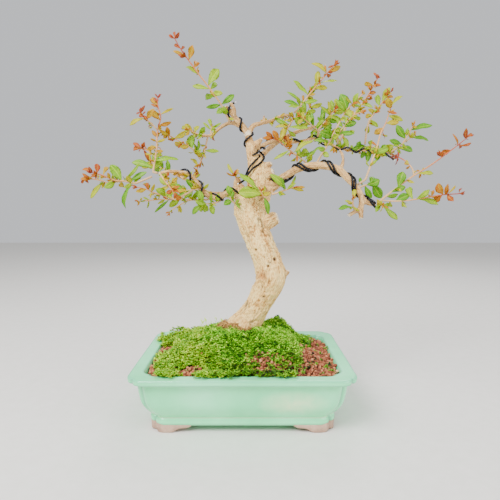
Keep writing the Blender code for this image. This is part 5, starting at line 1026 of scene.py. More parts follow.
SHOOTS = {
    "shoot_apex": (
        (((-21, 414, 9), (-33, 438, 4), (-51, 463, -4), (-66, 482, -10), (-83, 505, -16), (-92, 518, -20),
          (-100, 532, -24)),),
        ((0, 1.0, -109, 537, 4), (0, 1.0, -101, 543, 4), (0, 1.0, -93, 540, 5), (0, 0.88, -101, 524, 5),
         (0, 0.87, -85, 521, 4), (0, 0.76, -103, 514, 5), (0, 0.74, -74, 522, 9), (0, 0.65, -68, 500, 9),
         (0, 0.53, -84, 492, 6), (0, 0.42, -36, 489, 14), (0, 0.39, -75, 465, 7), (0, 0.38, -39, 470, 8),
         (0, 0.31, -57, 449, 9), (0, 0.34, -31, 454, 8), (0, 0.19, -13, 452, 9), (0, 0.19, -55, 433, 7),
         (0, 0.15, -39, 425, 9), (0, 0.07, -29, 435, 8), (0, 0.03, -14, 416, 5)),
    ),
    "shoot_left_upright": (
        (((-135, 339, -40), (-132, 357, -38), (-129, 374, -36), (-128, 394, -34), (-125, 408, -32),
          (-122, 420, -30), (-126, 436, -28), (-126, 448, -27)), ((-127, 401, -33), (-135, 409, -38),
          (-145, 418, -44), (-152, 426, -50)), ((-132, 360, -38), (-143, 371, -32), (-152, 374, -26)),),
        ((0, 0.89, -136, 448, 8), (0, 0.77, -103, 432, 4), (0, 0.69, -138, 430, 9), (1, 0.66, -132, 431, 8),
         (1, 0.7, -169, 408, 6), (1, 0.76, -154, 424, 5), (1, 0.96, -145, 436, 4), (0, 0.62, -106, 412, 6),
         (0, 0.58, -111, 393, 6), (0, 0.39, -116, 387, 4), (0, 0.4, -138, 388, 3), (0, 0.28, -120, 370, 5),
         (0, 0.2, -120, 365, 6), (2, 0.62, -132, 376, 6), (2, 1.0, -164, 383, 6), (2, 0.92, -147, 383, 5),
         (2, 0.99, -165, 371, 6), (2, 0.87, -141, 355, 5), (0, 0.05, -167, 354, 10), (0, 0.05, -121, 357, 12),
         (0, 0.14, -97, 359, 7)),
    ),
    "shoot_left_drop": (
        (((-53, 389, 20), (-56, 377, 18), (-60, 362, 14), (-68, 346, 8), (-71, 338, 4)),
         ((-68, 360, 6), (-74, 371, 2), (-85, 379, -6), (-105, 390, -16), (-116, 396, -22)),),
        ((0, 0.35, -36, 370, 6), (0, 0.3, -54, 377, 3), (0, 0.52, -72, 371, 7), (0, 0.58, -74, 382, 5),
         (0, 0.87, -71, 332, 9), (0, 0.79, -79, 360, 6),
         (1, 0.87, -113, 405, 7), (1, 0.77, -85, 399, 8), (1, 0.96, -119, 389, 6), (1, 0.58, -103, 380, 8),
         (1, 0.42, -94, 376, 7), (1, 0.32, -77, 394, 12), (1, 0.18, -66, 387, 5)),
    ),
    "shoot_left_upper": (
        (((-54, 393, 16), (-68, 395, 10), (-77, 399, 4), (-83, 402, -2)),),
        ((0, 0.69, -87, 409, 9), (0, 0.96, -92, 405, 6), (0, 0.6, -65, 407, 6), (0, 0.37, -57, 405, 7),
         (0, 0.5, -73, 389, 8)),
    ),
    "shoot_left_arch": (
        (((-48, 397, 24), (-47, 406, 26)),),
        ((0, 0.66, -51, 418, 6), (0, 0.44, -60, 412, 4), (0, 0.67, -33, 411, 4)),
    ),
    "shoot_left_tip": (
        (((-162, 322, -44), (-179, 326, -47), (-193, 327, -50), (-210, 334, -55), (-227, 339, -60)),
          ((-178, 325, -47), (-203, 323, -42), (-211, 326, -38), (-227, 329, -34), (-241, 329, -32)),),
        ((0, 1.0, -242, 343, 6), (0, 1.0, -231, 347, 5), (0, 0.88, -218, 352, 8), (0, 0.75, -201, 347, 6),
         (0, 0.32, -199, 350, 13), (0, 0.29, -155, 352, 5), (1, 0.19, -208, 316, 9), (0, 0.32, -183, 316, 9),
         (1, 0.51, -231, 300, 6), (1, 0.78, -246, 329, 6), (1, 0.78, -241, 337, 5), (0, 0.59, -203, 338, 5),
         (0, 0.07, -175, 333, 10), (0, 0.09, -179, 316, 6), (0, 0.04, -179, 285, 8), (0, 0.15, -145, 340, 8),
         (0, 0.04, -153, 334, 7)),
    ),
    "shoot_left_mid": (
        (((-102, 298, -30), (-116, 303, -34), (-136, 309, -40), (-143, 313, -44), (-160, 317, -48)),),
        ((0, 0.71, -150, 324, 6), (0, 0.61, -133, 321, 5), (0, 0.78, -161, 310, 6), (0, 0.24, -131, 314, 10),
         (0, 0.07, -118, 309, 9), (0, 0.61, -140, 300, 3)),
    ),
    "shoot_left_long": (
        (((-54, 298, -8), (-79, 298, -12), (-104, 298, -16), (-129, 298, -20), (-157, 295, -24)),
         ((-70, 298, -10), (-84, 296, -14), (-99, 288, -18), (-112, 279, -20))),
        ((0, 0.84, -152, 302, 3), (0, 0.56, -134, 278, 5), (0, 0.63, -129, 292, 4), (0, 0.41, -112, 287, 9),
         (0, 0.42, -103, 309, 8), (0, 0.36, -78, 309, 7), (0, 0.26, -67, 312, 7)),
    ),
    "shoot_left_red": (
        (((-125, 337, -46), (-116, 324, -52), (-107, 312, -56), (-103, 306, -58)),),
        ((0, 0.58, -98, 332, 5), (0, 0.85, -85, 312, 5), (0, 0.18, -109, 329, 4), (0, 1.0, -94, 298, 8),
         (0, 0.81, -115, 308, 6)),
    ),
    "shoot_left_cluster": (
        (((-34, 297, -14), (-43, 293, -20), (-52, 292, -24), (-62, 291, -28)),),
        ((0, 0.76, -72, 296, 9), (0, 0.93, -68, 281, 8), (0, 0.58, -45, 276, 9), (0, 1.0, -77, 276, 8),
         (0, 0.82, -58, 278, 9), (0, 0.19, -37, 307, 7), (0, 1.0, -66, 312, 9), (0, 0.55, -48, 306, 5)),
    ),
    "shoot_snag": (
        (((-8, 327, -6), (-13, 334, -12)),),
        ((0, 0.87, -24, 352, 5), (0, 0.87, -8, 345, 4), (0, 0.87, -25, 338, 3)),
    ),
    "shoot_trunk_left": (
        (((-10, 291, -20), (-18, 297, -27), (-21, 307, -29)),),
        ((0, 0.8, -24, 319, 10), (0, 0.49, -29, 291, 9), (0, 0.38, -16, 311, 9)),
    ),
    "shoot_crotch": (
        (((33, 300, -24), (28, 307, -30), (26, 311, -31)),),
        ((0, 0.93, -5, 339, 9), (0, 0.64, -8, 309, 17), (0, 0.73, 33, 319, 5), (0, 0.49, 41, 308, 6),
         (0, 0.21, 38, 276, 8)),
    ),
    "shoot_crotch_right": (
        (((44, 306, -26), (65, 313, -32), (77, 317, -36)),),
        ((0, 0.61, 40, 336, 10), (0, 0.64, 78, 323, 5), (0, 0.7, 79, 334, 4), (0, 0.49, 57, 331, 4),
         (0, 0.97, 93, 317, 4), (0, 0.79, 91, 311, 5)),
    ),
    "shoot_right_top": (
        (((81, 432, 60), (91, 444, 60), (98, 453, 56), (111, 468, 50), (122, 481, 46), (135, 496, 40)),),
        ((0, 0.77, 100, 497, 7), (0, 0.81, 143, 492, 8), (0, 0.78, 128, 477, 8), (0, 0.78, 119, 495, 3),
         (0, 0.51, 110, 486, 9), (0, 0.3, 74, 473, 7), (0, 0.57, 139, 473, 6), (0, 0.47, 124, 461, 8),
         (0, 0.24, 107, 465, 9), (0, 0.12, 64, 456, 5), (0, 0.23, 104, 445, 6), (0, 0.1, 110, 444, 6),
         (0, 0.05, 67, 435, 6), (0, 0.05, 78, 449, 6), (0, 0.03, 93, 425, 8), (0, 0.05, 60, 443, 7)),
    ),
    "shoot_right_hang": (
        (((72, 421, 54), (74, 417, 44), (69, 409, 34), (65, 401, 28), (62, 392, 24)),),
        ((0, 0.33, 65, 414, 9), (0, 0.05, 72, 427, 9), (0, 0.57, 47, 418, 7), (0, 0.71, 47, 405, 6),
         (0, 0.66, 97, 405, 7), (0, 0.75, 79, 391, 6), (0, 0.78, 55, 391, 8), (0, 0.95, 59, 404, 8),
         (0, 0.97, 67, 384, 6), (0, 1.0, 52, 382, 5)),
    ),
    "shoot_right_orange": (
        (((97, 351, -20), (91, 355, -22), (72, 369, -28), (52, 385, -34), (44, 388, -36)),),
        ((0, 1.0, 29, 389, 6), (0, 1.0, 34, 398, 6), (0, 0.86, 44, 400, 8), (0, 0.83, 60, 404, 7),
         (0, 0.54, 45, 358, 5), (0, 0.44, 104, 387, 7), (0, 0.3, 96, 373, 12), (0, 0.21, 80, 376, 7),
         (0, 0.11, 116, 378, 7), (0, 0.04, 102, 365, 7), (0, 0.65, 72, 386, 6)),
    ),
    "shoot_right_arch": (
        (((112, 398, 58), (107, 403, 54), (97, 411, 44), (85, 421, 34)),),
        ((0, 0.56, 101, 422, 9), (0, 0.76, 86, 427, 7), (0, 0.32, 101, 426, 7), (0, 0.2, 119, 415, 6),
         (0, 0.88, 81, 410, 6)),
    ),
    "shoot_right_long": (
        (((112, 357, -40), (127, 382, -42), (138, 403, -44), (151, 427, -46), (161, 438, -47),
          (176, 453, -48)),),
        ((0, 0.71, 143, 453, 15), (0, 0.68, 137, 444, 8), (0, 0.73, 160, 420, 8), (0, 0.83, 169, 454, 7),
         (0, 0.82, 151, 447, 4), (0, 0.33, 114, 398, 13), (0, 0.3, 125, 405, 10), (0, 0.33, 142, 393, 10),
         (0, 0.25, 105, 386, 6), (0, 0.11, 127, 362, 8), (0, 0.17, 112, 373, 7)),
    ),
    "shoot_right_white": (
        (((112, 402, 76), (124, 416, 74), (139, 435, 70)),),
        ((0, 0.6, 114, 436, 6), (0, 0.6, 125, 443, 5), (0, 0.93, 140, 444, 8), (0, 0.5, 150, 428, 4),
         (0, 0.27, 130, 412, 8)),
    ),
    "shoot_right_inner": (
        (((140, 392, 30), (147, 403, 28), (162, 421, 22), (176, 427, 18)),),
        ((0, 0.32, 168, 412, 9), (0, 0.11, 165, 396, 8), (0, 0.42, 152, 421, 8), (0, 0.29, 138, 418, 7),
         (0, 0.17, 135, 401, 9), (0, 0.75, 159, 427, 7), (0, 0.71, 174, 415, 6)),
    ),
    "shoot_right_rise": (
        (((152, 405, 60), (162, 421, 56), (173, 436, 52), (185, 453, 48), (198, 476, 42)),),
        ((0, 0.85, 177, 467, 7), (0, 0.87, 202, 465, 5), (0, 0.46, 162, 444, 5), (0, 0.48, 191, 434, 6),
         (0, 0.49, 184, 442, 4), (0, 0.22, 154, 427, 9), (0, 0.26, 175, 428, 5)),
    ),
    "shoot_right_yellow": (
        (((183, 400, 50), (187, 415, 46), (194, 425, 42), (204, 439, 36), (217, 456, 30)),),
        ((0, 0.62, 198, 453, 9), (0, 0.71, 216, 463, 9), (0, 0.38, 180, 420, 8), (0, 0.47, 185, 431, 6),
         (0, 0.26, 200, 405, 6), (0, 0.14, 184, 395, 8), (0, 0.84, 222, 449, 5)),
    ),
    "shoot_right_tall": (
        (((183, 328, -66), (188, 343, -62), (198, 373, -54), (204, 396, -48), (212, 413, -44),
          (217, 433, -40)),),
        ((0, 0.99, 212, 447, 11), (0, 0.99, 235, 451, 6), (0, 0.95, 227, 425, 4), (0, 0.89, 237, 414, 7),
         (0, 0.78, 231, 412, 8), (0, 0.72, 194, 395, 14), (0, 0.62, 215, 391, 3), (0, 0.35, 217, 374, 9)),
    ),
    "shoot_middle_leaves": (
        (((175, 373, 52), (187, 377, 48), (201, 374, 42), (217, 373, 36)),),
        ((0, 0.22, 162, 373, 10), (0, 0.37, 185, 354, 9), (0, 0.14, 176, 359, 8), (0, 0.63, 194, 359, 9),
         (0, 0.74, 198, 355, 8), (0, 0.88, 224, 378, 9), (0, 1.0, 206, 362, 8), (0, 0.39, 188, 386, 8),
         (0, 0.05, 170, 384, 8)),
    ),
    "shoot_right_pair": (
        (((222, 370, 26), (236, 380, 18), (245, 395, 12), (252, 408, 6)), ((238, 382, 18), (247, 388, 26),
          (254, 396, 30)),),
        ((0, 0.81, 281, 409, 8), (0, 0.53, 227, 408, 11), (1, 0.67, 276, 386, 6), (0, 0.25, 224, 382, 10),
         (0, 0.16, 253, 370, 9), (0, 0.35, 218, 386, 8), (0, 0.93, 257, 405, 4)),
    ),
    "shoot_far_right": (
        (((203, 294, -78), (227, 313, -72), (254, 333, -66), (281, 350, -60), (308, 370, -54),
          (332, 389, -48)),
         ((208, 296, -79), (236, 296, -84), (269, 300, -88), (297, 305, -92), (326, 307, -95)),
         ((256, 334, -65), (252, 345, -58), (242, 355, -50), (230, 362, -42))),
        ((0, 0.22, 239, 340, 12), (0, 0.32, 256, 323, 4), (0, 0.43, 285, 338, 6), (0, 0.39, 258, 342, 4),
         (0, 0.81, 294, 366, 9), (0, 0.89, 311, 395, 3), (0, 0.89, 340, 382, 4), (0, 0.99, 331, 403, 6),
         (0, 1.0, 343, 395, 6), (0, 0.14, 244, 317, 8), (0, 0.09, 233, 306, 6),
         (1, 0.19, 250, 305, 10), (1, 0.41, 247, 317, 9), (1, 0.45, 280, 313, 7), (1, 0.47, 295, 291, 6),
         (1, 0.79, 292, 322, 13), (1, 0.78, 288, 296, 9), (1, 0.81, 307, 321, 5), (1, 0.84, 320, 320, 3),
         (1, 0.84, 316, 296, 7), (1, 0.12, 222, 286, 6)),
    ),
    "shoot_right_curl": (
        (((176, 317, -72), (185, 320, -64), (195, 321, -58)),),
        ((0, 0.49, 205, 327, 13), (0, 1.0, 208, 300, 13), (0, 0.36, 193, 300, 8), (0, 0.21, 174, 332, 5),
         (0, 0.79, 195, 333, 8)),
    ),
    "shoot_stub": (
        (((167, 285, -80), (165, 291, -84), (165, 300, -87)),),
        ((0, 0.23, 144, 285, 6), (0, 0.93, 168, 314, 6), (0, 0.48, 157, 293, 4)),
    ),
    "shoot_under_right": (
        (((206, 291, -76), (211, 288, -74)),),
        ((0, 0.76, 234, 268, 8), (0, 0.47, 220, 291, 7), (0, 0.24, 200, 280, 6)),
    ),
}
# The shoots on the back branches: one stem each, and how many pairs of leaves
BACK_SHOOTS = {
    "shoot_back_left": (((-104, 336, 102), (-122, 346, 110), (-138, 354, 112)), 4),
    "shoot_back_low": (((-66, 314, 74), (-88, 312, 92), (-112, 318, 104)), 4),
    "shoot_back_right": (((108, 406, 112), (124, 418, 118), (138, 432, 122)), 5),
    "shoot_back_high": (((80, 398, 92), (86, 416, 104), (98, 434, 112)), 5),
    "shoot_back_far": (((96, 402, 103), (124, 397, 104), (148, 392, 98)), 5),
}
# How far back a shoot may stand from its table's places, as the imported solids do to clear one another
DODGES = (0, 6, -6, 12, -12, 18, -18, 26, -26)
# How far each shoot's leaves have turned from green to red, at its foot and at its tip. The shoots that are
# not listed are mostly green.
MOSTLY_GREEN = (0.12, 0.45)
TURNING = {
    "shoot_apex": (0.1, 0.95), "shoot_left_upright": (0.3, 0.85), "shoot_left_drop": (0.25, 0.6),
    "shoot_left_tip": (0.2, 0.8), "shoot_left_mid": (0.2, 0.6), "shoot_left_long": (0.15, 0.4),
    "shoot_left_red": (0.3, 0.62), "shoot_left_cluster": (0.02, 0.25), "shoot_right_top": (0.3, 0.8),
    "shoot_right_orange": (0.3, 0.7), "shoot_right_hang": (0.2, 0.55), "shoot_right_arch": (0.15, 0.5),
    "shoot_right_long": (0.1, 0.35), "shoot_right_white": (0.3, 0.6), "shoot_right_rise": (0.2, 0.75),
    "shoot_right_yellow": (0.25, 0.7), "shoot_right_tall": (0.2, 0.55), "shoot_far_right": (0.12, 0.95),
    "shoot_right_curl": (0.0, 0.15), "shoot_crotch": (0.26, 0.45), "shoot_trunk_left": (0.0, 0.1),
    "shoot_middle_leaves": (0.02, 0.2), "shoot_right_pair": (0.08, 0.35), "shoot_snag": (0.2, 0.6),
}

LEAF_ROWS = np.array([0.03, 0.14, 0.3, 0.48, 0.66, 0.82, 0.94])
SMALL_ROWS = np.array([0.04, 0.3, 0.62, 0.9])
LEAF_COLUMNS = np.array([(-1, 0), (-0.5, 1), (0, 1), (0.5, 1), (1, 0), (0.5, -1), (0, -1), (-0.5, -1)])


def leaf_blades(base, tip, normal, width, rng, rows=LEAF_ROWS):
    """Closed thin leaves, one for each row of the arrays, and how many points each has. Along the midrib t
    runs from 0 to 1. The half width is the sine of pi times a power of t, between 1.15 and 1.5, and that sine
    to the power 0.75. The midrib is bent by a parabola both ways and droops by t cubed, the halves fold up
    into a shallow V, and the edge waves by a sine."""
    count = len(base)
    along = tip - base
    length = np.linalg.norm(along, axis=1)
    along = along / length[:, None]
    normal = normal - along * np.einsum("nc,nc->n", normal, along)[:, None]
    normal /= np.linalg.norm(normal, axis=1)[:, None]
    side = np.cross(along, normal)
    t = rows[None, :, None]
    u, face = LEAF_COLUMNS[None, None, :, 0], LEAF_COLUMNS[None, None, :, 1]
    spans = ((-0.03, 0.14), (0.15, 0.6), (0.02, 0.12), (0, 6.3), (1.15, 1.5), (-0.07, 0.07))
    bend, fold, wave, phase, broad, sickle = (rng.uniform(*span, (count, 1, 1)) for span in spans)
    half = np.sin(np.pi * t**broad) ** 0.75 * width[:, None, None] / 2
    half = np.maximum(half, 0.3)
    long = length[:, None, None]
    lift = long * (4 * bend * t * (1 - t) - 0.07 * t**3)
    lift = lift + half * (fold * np.abs(u) ** 1.3 + wave * 4 * np.abs(u) * np.sin(9 * t + phase * np.sign(u)))
    thick = 0.2 * np.abs(face) * (1 - 0.4 * t) + 0.08 * (face == 1) * (1 - np.abs(u))
    swing = long * 4 * sickle * t * (1 - t)
    place = lambda a: np.broadcast_to(a, lift.shape)[..., None]
    points = (base[:, None, None] + along[:, None, None] * place(long * t)
              + side[:, None, None] * place(half * u + swing)
              + normal[:, None, None] * place(lift + thick * face))
    points = points.reshape(count, -1, 3)
    points = np.concatenate([base[:, None], points, (tip - 0.07 * length[:, None] * normal)[:, None]], 1)
    mark_u = np.concatenate([[0], np.tile(LEAF_COLUMNS[:, 0], len(rows)), [0]])
    mark_t = np.concatenate([[0], np.repeat(rows, 8), [1]])
    shape = points.shape[1]
    faces = skin(len(rows), 8)[None, :, ::-1] + shape * np.arange(count)[:, None, None]
    marks = np.stack([np.tile(mark_u, count), np.tile(mark_t, count), np.repeat(rng.random(count), shape)], 1)
    return points.reshape(-1, 3), faces.reshape(-1, 3), marks, shape


def spurs(route, pitch, rng):
    """Nodes up a stem, each with three to five small leaves on one side: their bases, tips and shares."""
    tangents, u, v = frames_along(route[:, :3])
    gone = np.cumsum(np.linalg.norm(np.diff(route[:, :3], axis=0), axis=1))
    found = []
    reach = rng.uniform(0.2, 0.9) * min(pitch, gone[-1])
    while reach < gone[-1]:
        at = int(np.searchsorted(gone, reach))
        turn = rng.uniform(0, 2 * np.pi)
        out = math.cos(turn) * u[at] + math.sin(turn) * v[at] + tangents[at] * rng.uniform(0.2, 1.0)
        out /= np.linalg.norm(out)
        for _ in range(rng.integers(3, 6)):
            way = out + rng.normal(0, 0.5, 3)
            base = route[at, :3] + tangents[at] * rng.uniform(-1.2, 1.2)
            long = 0.6 * route[at, 3] + rng.uniform(6, 12)
            found.append((base, base + way / np.linalg.norm(way) * long, reach / gone[-1]))
        reach += rng.uniform(0.5, 1.5) * pitch
    return found


def cad_points(name):
    """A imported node's points and triangles, in millimetres from the pot's middle."""
    points, _, faces = mesh_arrays(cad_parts[name].data)
    points, index = np.unique(np.round(points - POT_MIDDLE, 3), axis=0, return_inverse=True)
    return points, index.reshape(-1)[faces]


def as_seen(points):
    """Where points show from the front: across and up in the trunk's plane."""
    spread = 1 + (points[:, 1] - TRUNK_PLANE) / TO_TRUNK
    return np.column_stack([EYE[0] + (points[:, 0] - EYE[0]) / spread,
                            EYE[2] - ROUTE_LEVEL + (points[:, 2] - EYE[2]) / spread])


def shoot_stems(stems, dodge):
    """Smooth routes of a shoot's stems, with their radius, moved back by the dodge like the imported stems."""
    routes = []
    for number, knots in enumerate(stems):
        k = np.array(knots, float)
        part = np.arange(len(k)) / (len(k) - 1)
        share = np.minimum(1, 2.5 * part) if number == 0 else 1
        thick = 1.5 if number == 0 else 1.1
        row = np.column_stack([seen_at(k[:, 0], k[:, 1], k[:, 2] + dodge * share),
                               thick + (0.65 - thick) * part])
        if number:
            main = routes[0]
            row[0, :3] = main[np.argmin(np.linalg.norm(main[:, :3] - row[0, :3], axis=1)), :3]
        routes.append(smooth_line(row, 1.0))
    return routes


def paired_leaves(knots, pairs, rng):
    """Leaves in opposite pairs up a stem, in the form that the table of shoots uses."""
    leaves = []
    for i in range(pairs):
        share = 0.2 + 0.8 * i / (pairs - 1)
        at = share * (len(knots) - 1)
        low = min(int(at), len(knots) - 2)
        across, up = (knots[low][c] + (knots[low + 1][c] - knots[low][c]) * (at - low) for c in (0, 1))
        heading = math.atan2(knots[low + 1][1] - knots[low][1], knots[low + 1][0] - knots[low][0])
        for side in (-1, 1):
            angle = heading + side * rng.uniform(0.5, 1.1)
            length = rng.uniform(13, 20)
            leaves.append((0, share, across + length * math.cos(angle), up + length * math.sin(angle), 8))
    return leaves


leafy, tree, shader = new_look("pomegranate_leaf", Roughness=0.5, Specular_IOR_Level=0.22,
                               Subsurface_Weight=0.1, Subsurface_Scale=0.002)
shader.inputs["Subsurface Radius"].default_value = (0.6, 1.0, 0.3)
# Young leaf with a thin wax: satin, lime green, yellower along the midrib, bronze to red where it has just
# opened, and ribbed by side veins a twelfth of its length apart, about 2 mm
blade = add(tree, "ShaderNodeAttribute", {}, attribute_name="blade").outputs["Vector"]
parts = add(tree, "ShaderNodeSeparateXYZ", {"Vector": blade})
turned_red = add(tree, "ShaderNodeAttribute", {}, attribute_name="turning")
spot_in = add(tree, "ShaderNodeTexCoord", {}).outputs["Object"]
mottle = add(tree, "ShaderNodeTexNoise", {"Vector": spot_in, "Scale": 170.0, "Detail": 3.0})
spread = add(tree, "ShaderNodeMath", {0: mottle.outputs["Fac"], 1: 0.22, 2: -0.11}, operation="MULTIPLY_ADD")
turn = add(tree, "ShaderNodeMath", {0: spread.outputs[0], 1: turned_red.outputs["Fac"]}, operation="ADD")
leaf_tone = add(tree, "ShaderNodeValToRGB", {"Fac": turn.outputs[0]},
                [(0.0, "4C8400"), (0.08, "689400"), (0.26, "88A000"), (0.44, "A49000"), (0.6, "A86000"),
                 (0.78, "983C0C"), (1.0, "862616")])
across_leaf = add(tree, "ShaderNodeMath", {0: parts.outputs["X"]}, operation="ABSOLUTE")
rib = add(tree, "ShaderNodeMapRange", {"Value": across_leaf.outputs[0], "From Min": 0.0, "From Max": 0.13,
                                       "To Min": 0.35, "To Max": 0.0})
ribbed = add(tree, "ShaderNodeMix", {"Factor": rib.outputs[0], 6: leaf_tone.outputs[0], 7: linear("D8D84C")},
             data_type="RGBA")
tree.links.new(ribbed.outputs[2], shader.inputs["Base Color"])
slanted = add(tree, "ShaderNodeMath", {0: across_leaf.outputs[0], 1: -0.22, 2: parts.outputs["Y"]},
              operation="MULTIPLY_ADD")
veins = add(tree, "ShaderNodeMath", {0: slanted.outputs[0], 1: 75.0}, operation="MULTIPLY")
ripples = add(tree, "ShaderNodeMath", {0: veins.outputs[0]}, operation="SINE")
veined = add(tree, "ShaderNodeBump", {"Height": ripples.outputs[0], "Strength": 0.12, "Distance": 0.0003})
tree.links.new(veined.outputs[0], shader.inputs["Normal"])

twig, tree, shader = new_look("young_stem_bark", Roughness=0.6)
# Young bark: smooth, pinkish tan on the older stem, and red where it is still soft
age = add(tree, "ShaderNodeAttribute", {}, attribute_name="turning")
spot_in = add(tree, "ShaderNodeTexCoord", {}).outputs["Object"]
flecks = add(tree, "ShaderNodeTexNoise", {"Vector": spot_in, "Scale": 420.0, "Detail": 4.0})
aged = add(tree, "ShaderNodeMath", {0: flecks.outputs["Fac"], 1: 0.3, 2: age.outputs["Fac"]},
           operation="MULTIPLY_ADD")
stem_tone = add(tree, "ShaderNodeValToRGB", {"Fac": aged.outputs[0]},
                [(0.1, "B89468"), (0.35, "D0A470"), (0.6, "C4844A"), (0.85, "AE5228"), (1.0, "98341E")])
tree.links.new(stem_tone.outputs[0], shader.inputs["Base Color"])

# The solids' box less a little, which holds every leaf's tip
TIP_CLEAR = 1.5
HELD = np.array(cad_box) / MM - POT_MIDDLE + [[TIP_CLEAR] * 3, [-TIP_CLEAR] * 3]
# How far apart the spurs stand on most shoots and on limbs, how many buds each stem ends in, and the pitch of
# the spurs on the sparser shoots
DENSE_PITCH, LIMB_PITCH, TIP_BUDS = 9, 11, 4
SPUR_PITCH = {"shoot_apex": 30, "shoot_crotch": 30, "shoot_crotch_right": 20, "shoot_far_right": 32,
              "shoot_right_curl": 20, "shoot_right_tall": 20, "shoot_right_long": 13, "shoot_left_long": 13}
# Limbs with spurs of their own: the shoot whose piece holds them, the limb, and the share where they start
ON_LIMBS = {"shoot_middle_leaves": ("middle", 0.5), "shoot_right_hang": ("right_upper", 0.35),
            "shoot_left_drop": ("left_upper", 0.5), "shoot_left_mid": ("left_low", 0.4),
            "shoot_right_arch": ("middle", 0.22)}
specs = dict(SHOOTS)
for name, (knots, pairs) in BACK_SHOOTS.items():
    specs[name] = ((knots,), paired_leaves(knots, pairs, random.Random(name)))
for number, (name, (stems, leaves)) in enumerate(specs.items()):
    rng = np.random.default_rng(100 + number)
    packed, packed_faces = cad_points(name)
    seen = as_seen(packed)
    ends = [shoot_stems(stems, dodge)[0][-1, :3] for dodge in DODGES]
    near = [np.linalg.norm(packed - end, axis=1).min() for end in ends]
    routes = shoot_stems(stems, DODGES[int(np.argmin(near))])
    bases, held_tips, normals, widths, turns = [], [], [], [], []
    first_tint, last_tint = TURNING.get(name, MOSTLY_GREEN)
    for stem, share, across, up, width in leaves:
        route = routes[stem]
        shown = np.argmax(off_the_wood(route).min(axis=1) > 0.8)
        base = route[min(max(round(share * (len(route) - 1)), shown + 1), len(route) - 2), :3]
        away = np.abs(seen - (across, up)).sum(axis=1)
        tip = packed[away.argmin()]
        normal = EYE - base
        beside = packed_faces[(packed_faces == away.argmin()).any(axis=1)].ravel()
        beside = np.unique(beside[beside != away.argmin()])
        if away.min() > 0.6:
            tip = seen_at(across, up, base[1] - TRUNK_PLANE - 6)
        elif len(beside) == 3:
            corners = packed[beside]
            _, a, b = max((np.linalg.norm(corners[a] - corners[b]), a, b)
                          for a, b in ((0, 1), (1, 2), (0, 2)))
            keel = corners[3 - a - b]
            normal = (corners[a] + corners[b]) / 2 - keel
        bases.append(base)
        held_tips.append(tip)
        normals.append(normal)
        long = np.linalg.norm(tip - base)
        widths.append(np.clip(1.05 * width, 0.28 * long, 0.58 * long) if width > 5 else width)
        small = np.clip((17 - long) / 30, -0.2, 0.2)
        turns.append(first_tint + (last_tint - first_tint) * share**1.5 + small + rng.normal(0, 0.06))
    for route in routes:
        last, heading = route[-1, :3], route[-1, :3] - route[-4, :3]
        heading /= np.linalg.norm(heading)
        for _ in range(TIP_BUDS):
            point_to = heading + rng.normal(0, 0.55, 3)
            bases.append(last - heading * rng.uniform(0, 2.5))
            held_tips.append(bases[-1] + point_to / np.linalg.norm(point_to) * rng.uniform(5, 9))
            normals.append(EYE - last + rng.normal(0, 300, 3))
            widths.append(rng.uniform(1.8, 3.0))
            turns.append(last_tint + rng.uniform(0.1, 0.3))
    held_tips = np.clip(held_tips, *HELD)
    rows_of = [np.array(a, float) for a in (bases, held_tips, normals, widths)]
    points, faces, marks, shape = leaf_blades(*rows_of, rng)
    tints = np.repeat(np.clip(turns, 0, 1), shape)
    pitch = SPUR_PITCH.get(name, DENSE_PITCH)
    grown = [leaf for route in routes for leaf in spurs(route[len(route) // 8 :], pitch, rng)]
    if name in ON_LIMBS:
        limb, first = ON_LIMBS[name]
        grown += spurs(WOOD[limb][int(first * len(WOOD[limb])) :], LIMB_PITCH, rng)
    small_base, small_tip, small_share = (np.array(part, float) for part in zip(*grown))
    small_tip = np.clip(small_tip, *HELD)
    small_tint = first_tint + (last_tint - first_tint) * small_share + rng.normal(0.06, 0.14, len(small_base))
    small_way = EYE - small_base + rng.normal(0, 420, small_base.shape)
    small_wide = np.linalg.norm(small_tip - small_base, axis=1) * rng.uniform(0.26, 0.44, len(small_base))
    more, more_faces, more_marks, shape = leaf_blades(small_base, small_tip, small_way, small_wide, rng,
                                                      SMALL_ROWS)
    faces = np.vstack([faces, more_faces + len(points)])
    points, marks = np.vstack([points, more]), np.vstack([marks, more_marks])
    tints = np.concatenate([tints, np.repeat(np.clip(small_tint, 0, 1), shape)])
    looks = np.zeros(len(faces), int)
    for route in routes:
        if route is routes[0]:
            start = WOOD_ROWS[off_the_wood(route[:1])[0].argmin(), :3]
            lead = start + (route[0, :3] - start) * np.linspace(0.3, 0.95, 5)[:, None]
            route = np.vstack([np.column_stack([lead, np.full(5, 1.5)]), route])
        stem_points, stem_faces = tube(route[::2] if len(route) > 24 else route, 7, len(points))
        points = np.vstack([points, stem_points])
        faces = np.vstack([faces, stem_faces])
        age = np.linspace(0, 0.85 * last_tint + 0.1, len(stem_points))
        tints = np.concatenate([tints, age])
        marks = np.vstack([marks, np.zeros((len(stem_points), 3))])
        looks = np.concatenate([looks, np.ones(len(stem_faces), int)])
    piece(name.replace("shoot", "leafy_shoot"), points, faces, [leafy, twig], [name],
          {"turning": tints, "blade": marks}, looks)


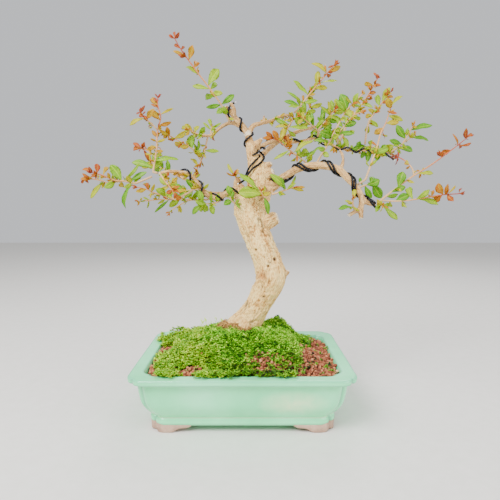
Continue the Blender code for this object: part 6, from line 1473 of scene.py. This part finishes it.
# The stage: a plain pale floor that the bonsai stands on, under soft studio light. It is seen from where the
# photograph was taken, a little right of the pot's middle, level with the top of the trunk and looking down.

floor = bpy.data.meshes.new("floor")
floor.from_pydata([(-3, -3, 0), (3, -3, 0), (3, 3, 0), (-3, 3, 0)], [], [(0, 1, 2, 3)])
floor_at = bpy.data.objects.new("floor", floor)
bpy.context.scene.collection.objects.link(floor_at)
paper, tree, shader = new_look("studio_paper", Roughness=0.85)
# A roll of matt backdrop paper: pale warm grey with a barely visible fibre
spot_in = add(tree, "ShaderNodeTexCoord", {}).outputs["Object"]
fibre = add(tree, "ShaderNodeTexNoise", {"Vector": spot_in, "Scale": 60.0, "Detail": 4.0})
papery = add(tree, "ShaderNodeValToRGB", {"Fac": fibre.outputs["Fac"]}, [(0.3, "D9D6D0"), (0.7, "DEDBD6")])
tree.links.new(papery.outputs[0], shader.inputs["Base Color"])
floor.materials.append(paper)

sky = bpy.data.worlds.new("pale_room")
sky.use_nodes = True
sky.node_tree.nodes["Background"].inputs["Color"].default_value = linear("E6E8EC")
sky.node_tree.nodes["Background"].inputs["Strength"].default_value = 0.88
bpy.context.scene.world = sky
for name, size, watts, place in (("window", 1.0, 74, (-0.9, -1.1, 1.5)), ("fill", 1.2, 24, (1.3, -0.9, 0.9)),
                                 ("back_light", 0.9, 16, (0.3, 1.2, 1.4))):
    light = bpy.data.lights.new(name, "AREA")
    light.size, light.energy = size, watts
    lamp = bpy.data.objects.new(name, light)
    lamp.location = place
    lamp.rotation_euler = (Vector((0, 0, 0.25)) - Vector(place)).to_track_quat("-Z", "Y").to_euler()
    bpy.context.scene.collection.objects.link(lamp)

LOOKING_DOWN = 5.563
eye = bpy.data.cameras.new("eye")
eye.lens, eye.sensor_width = 33.26, 36
camera = bpy.data.objects.new("eye", eye)
camera.location = (EYE + POT_MIDDLE) * MM
camera.rotation_euler = (math.radians(90 - LOOKING_DOWN), 0, 0)
bpy.context.scene.collection.objects.link(camera)
bpy.context.scene.camera = camera
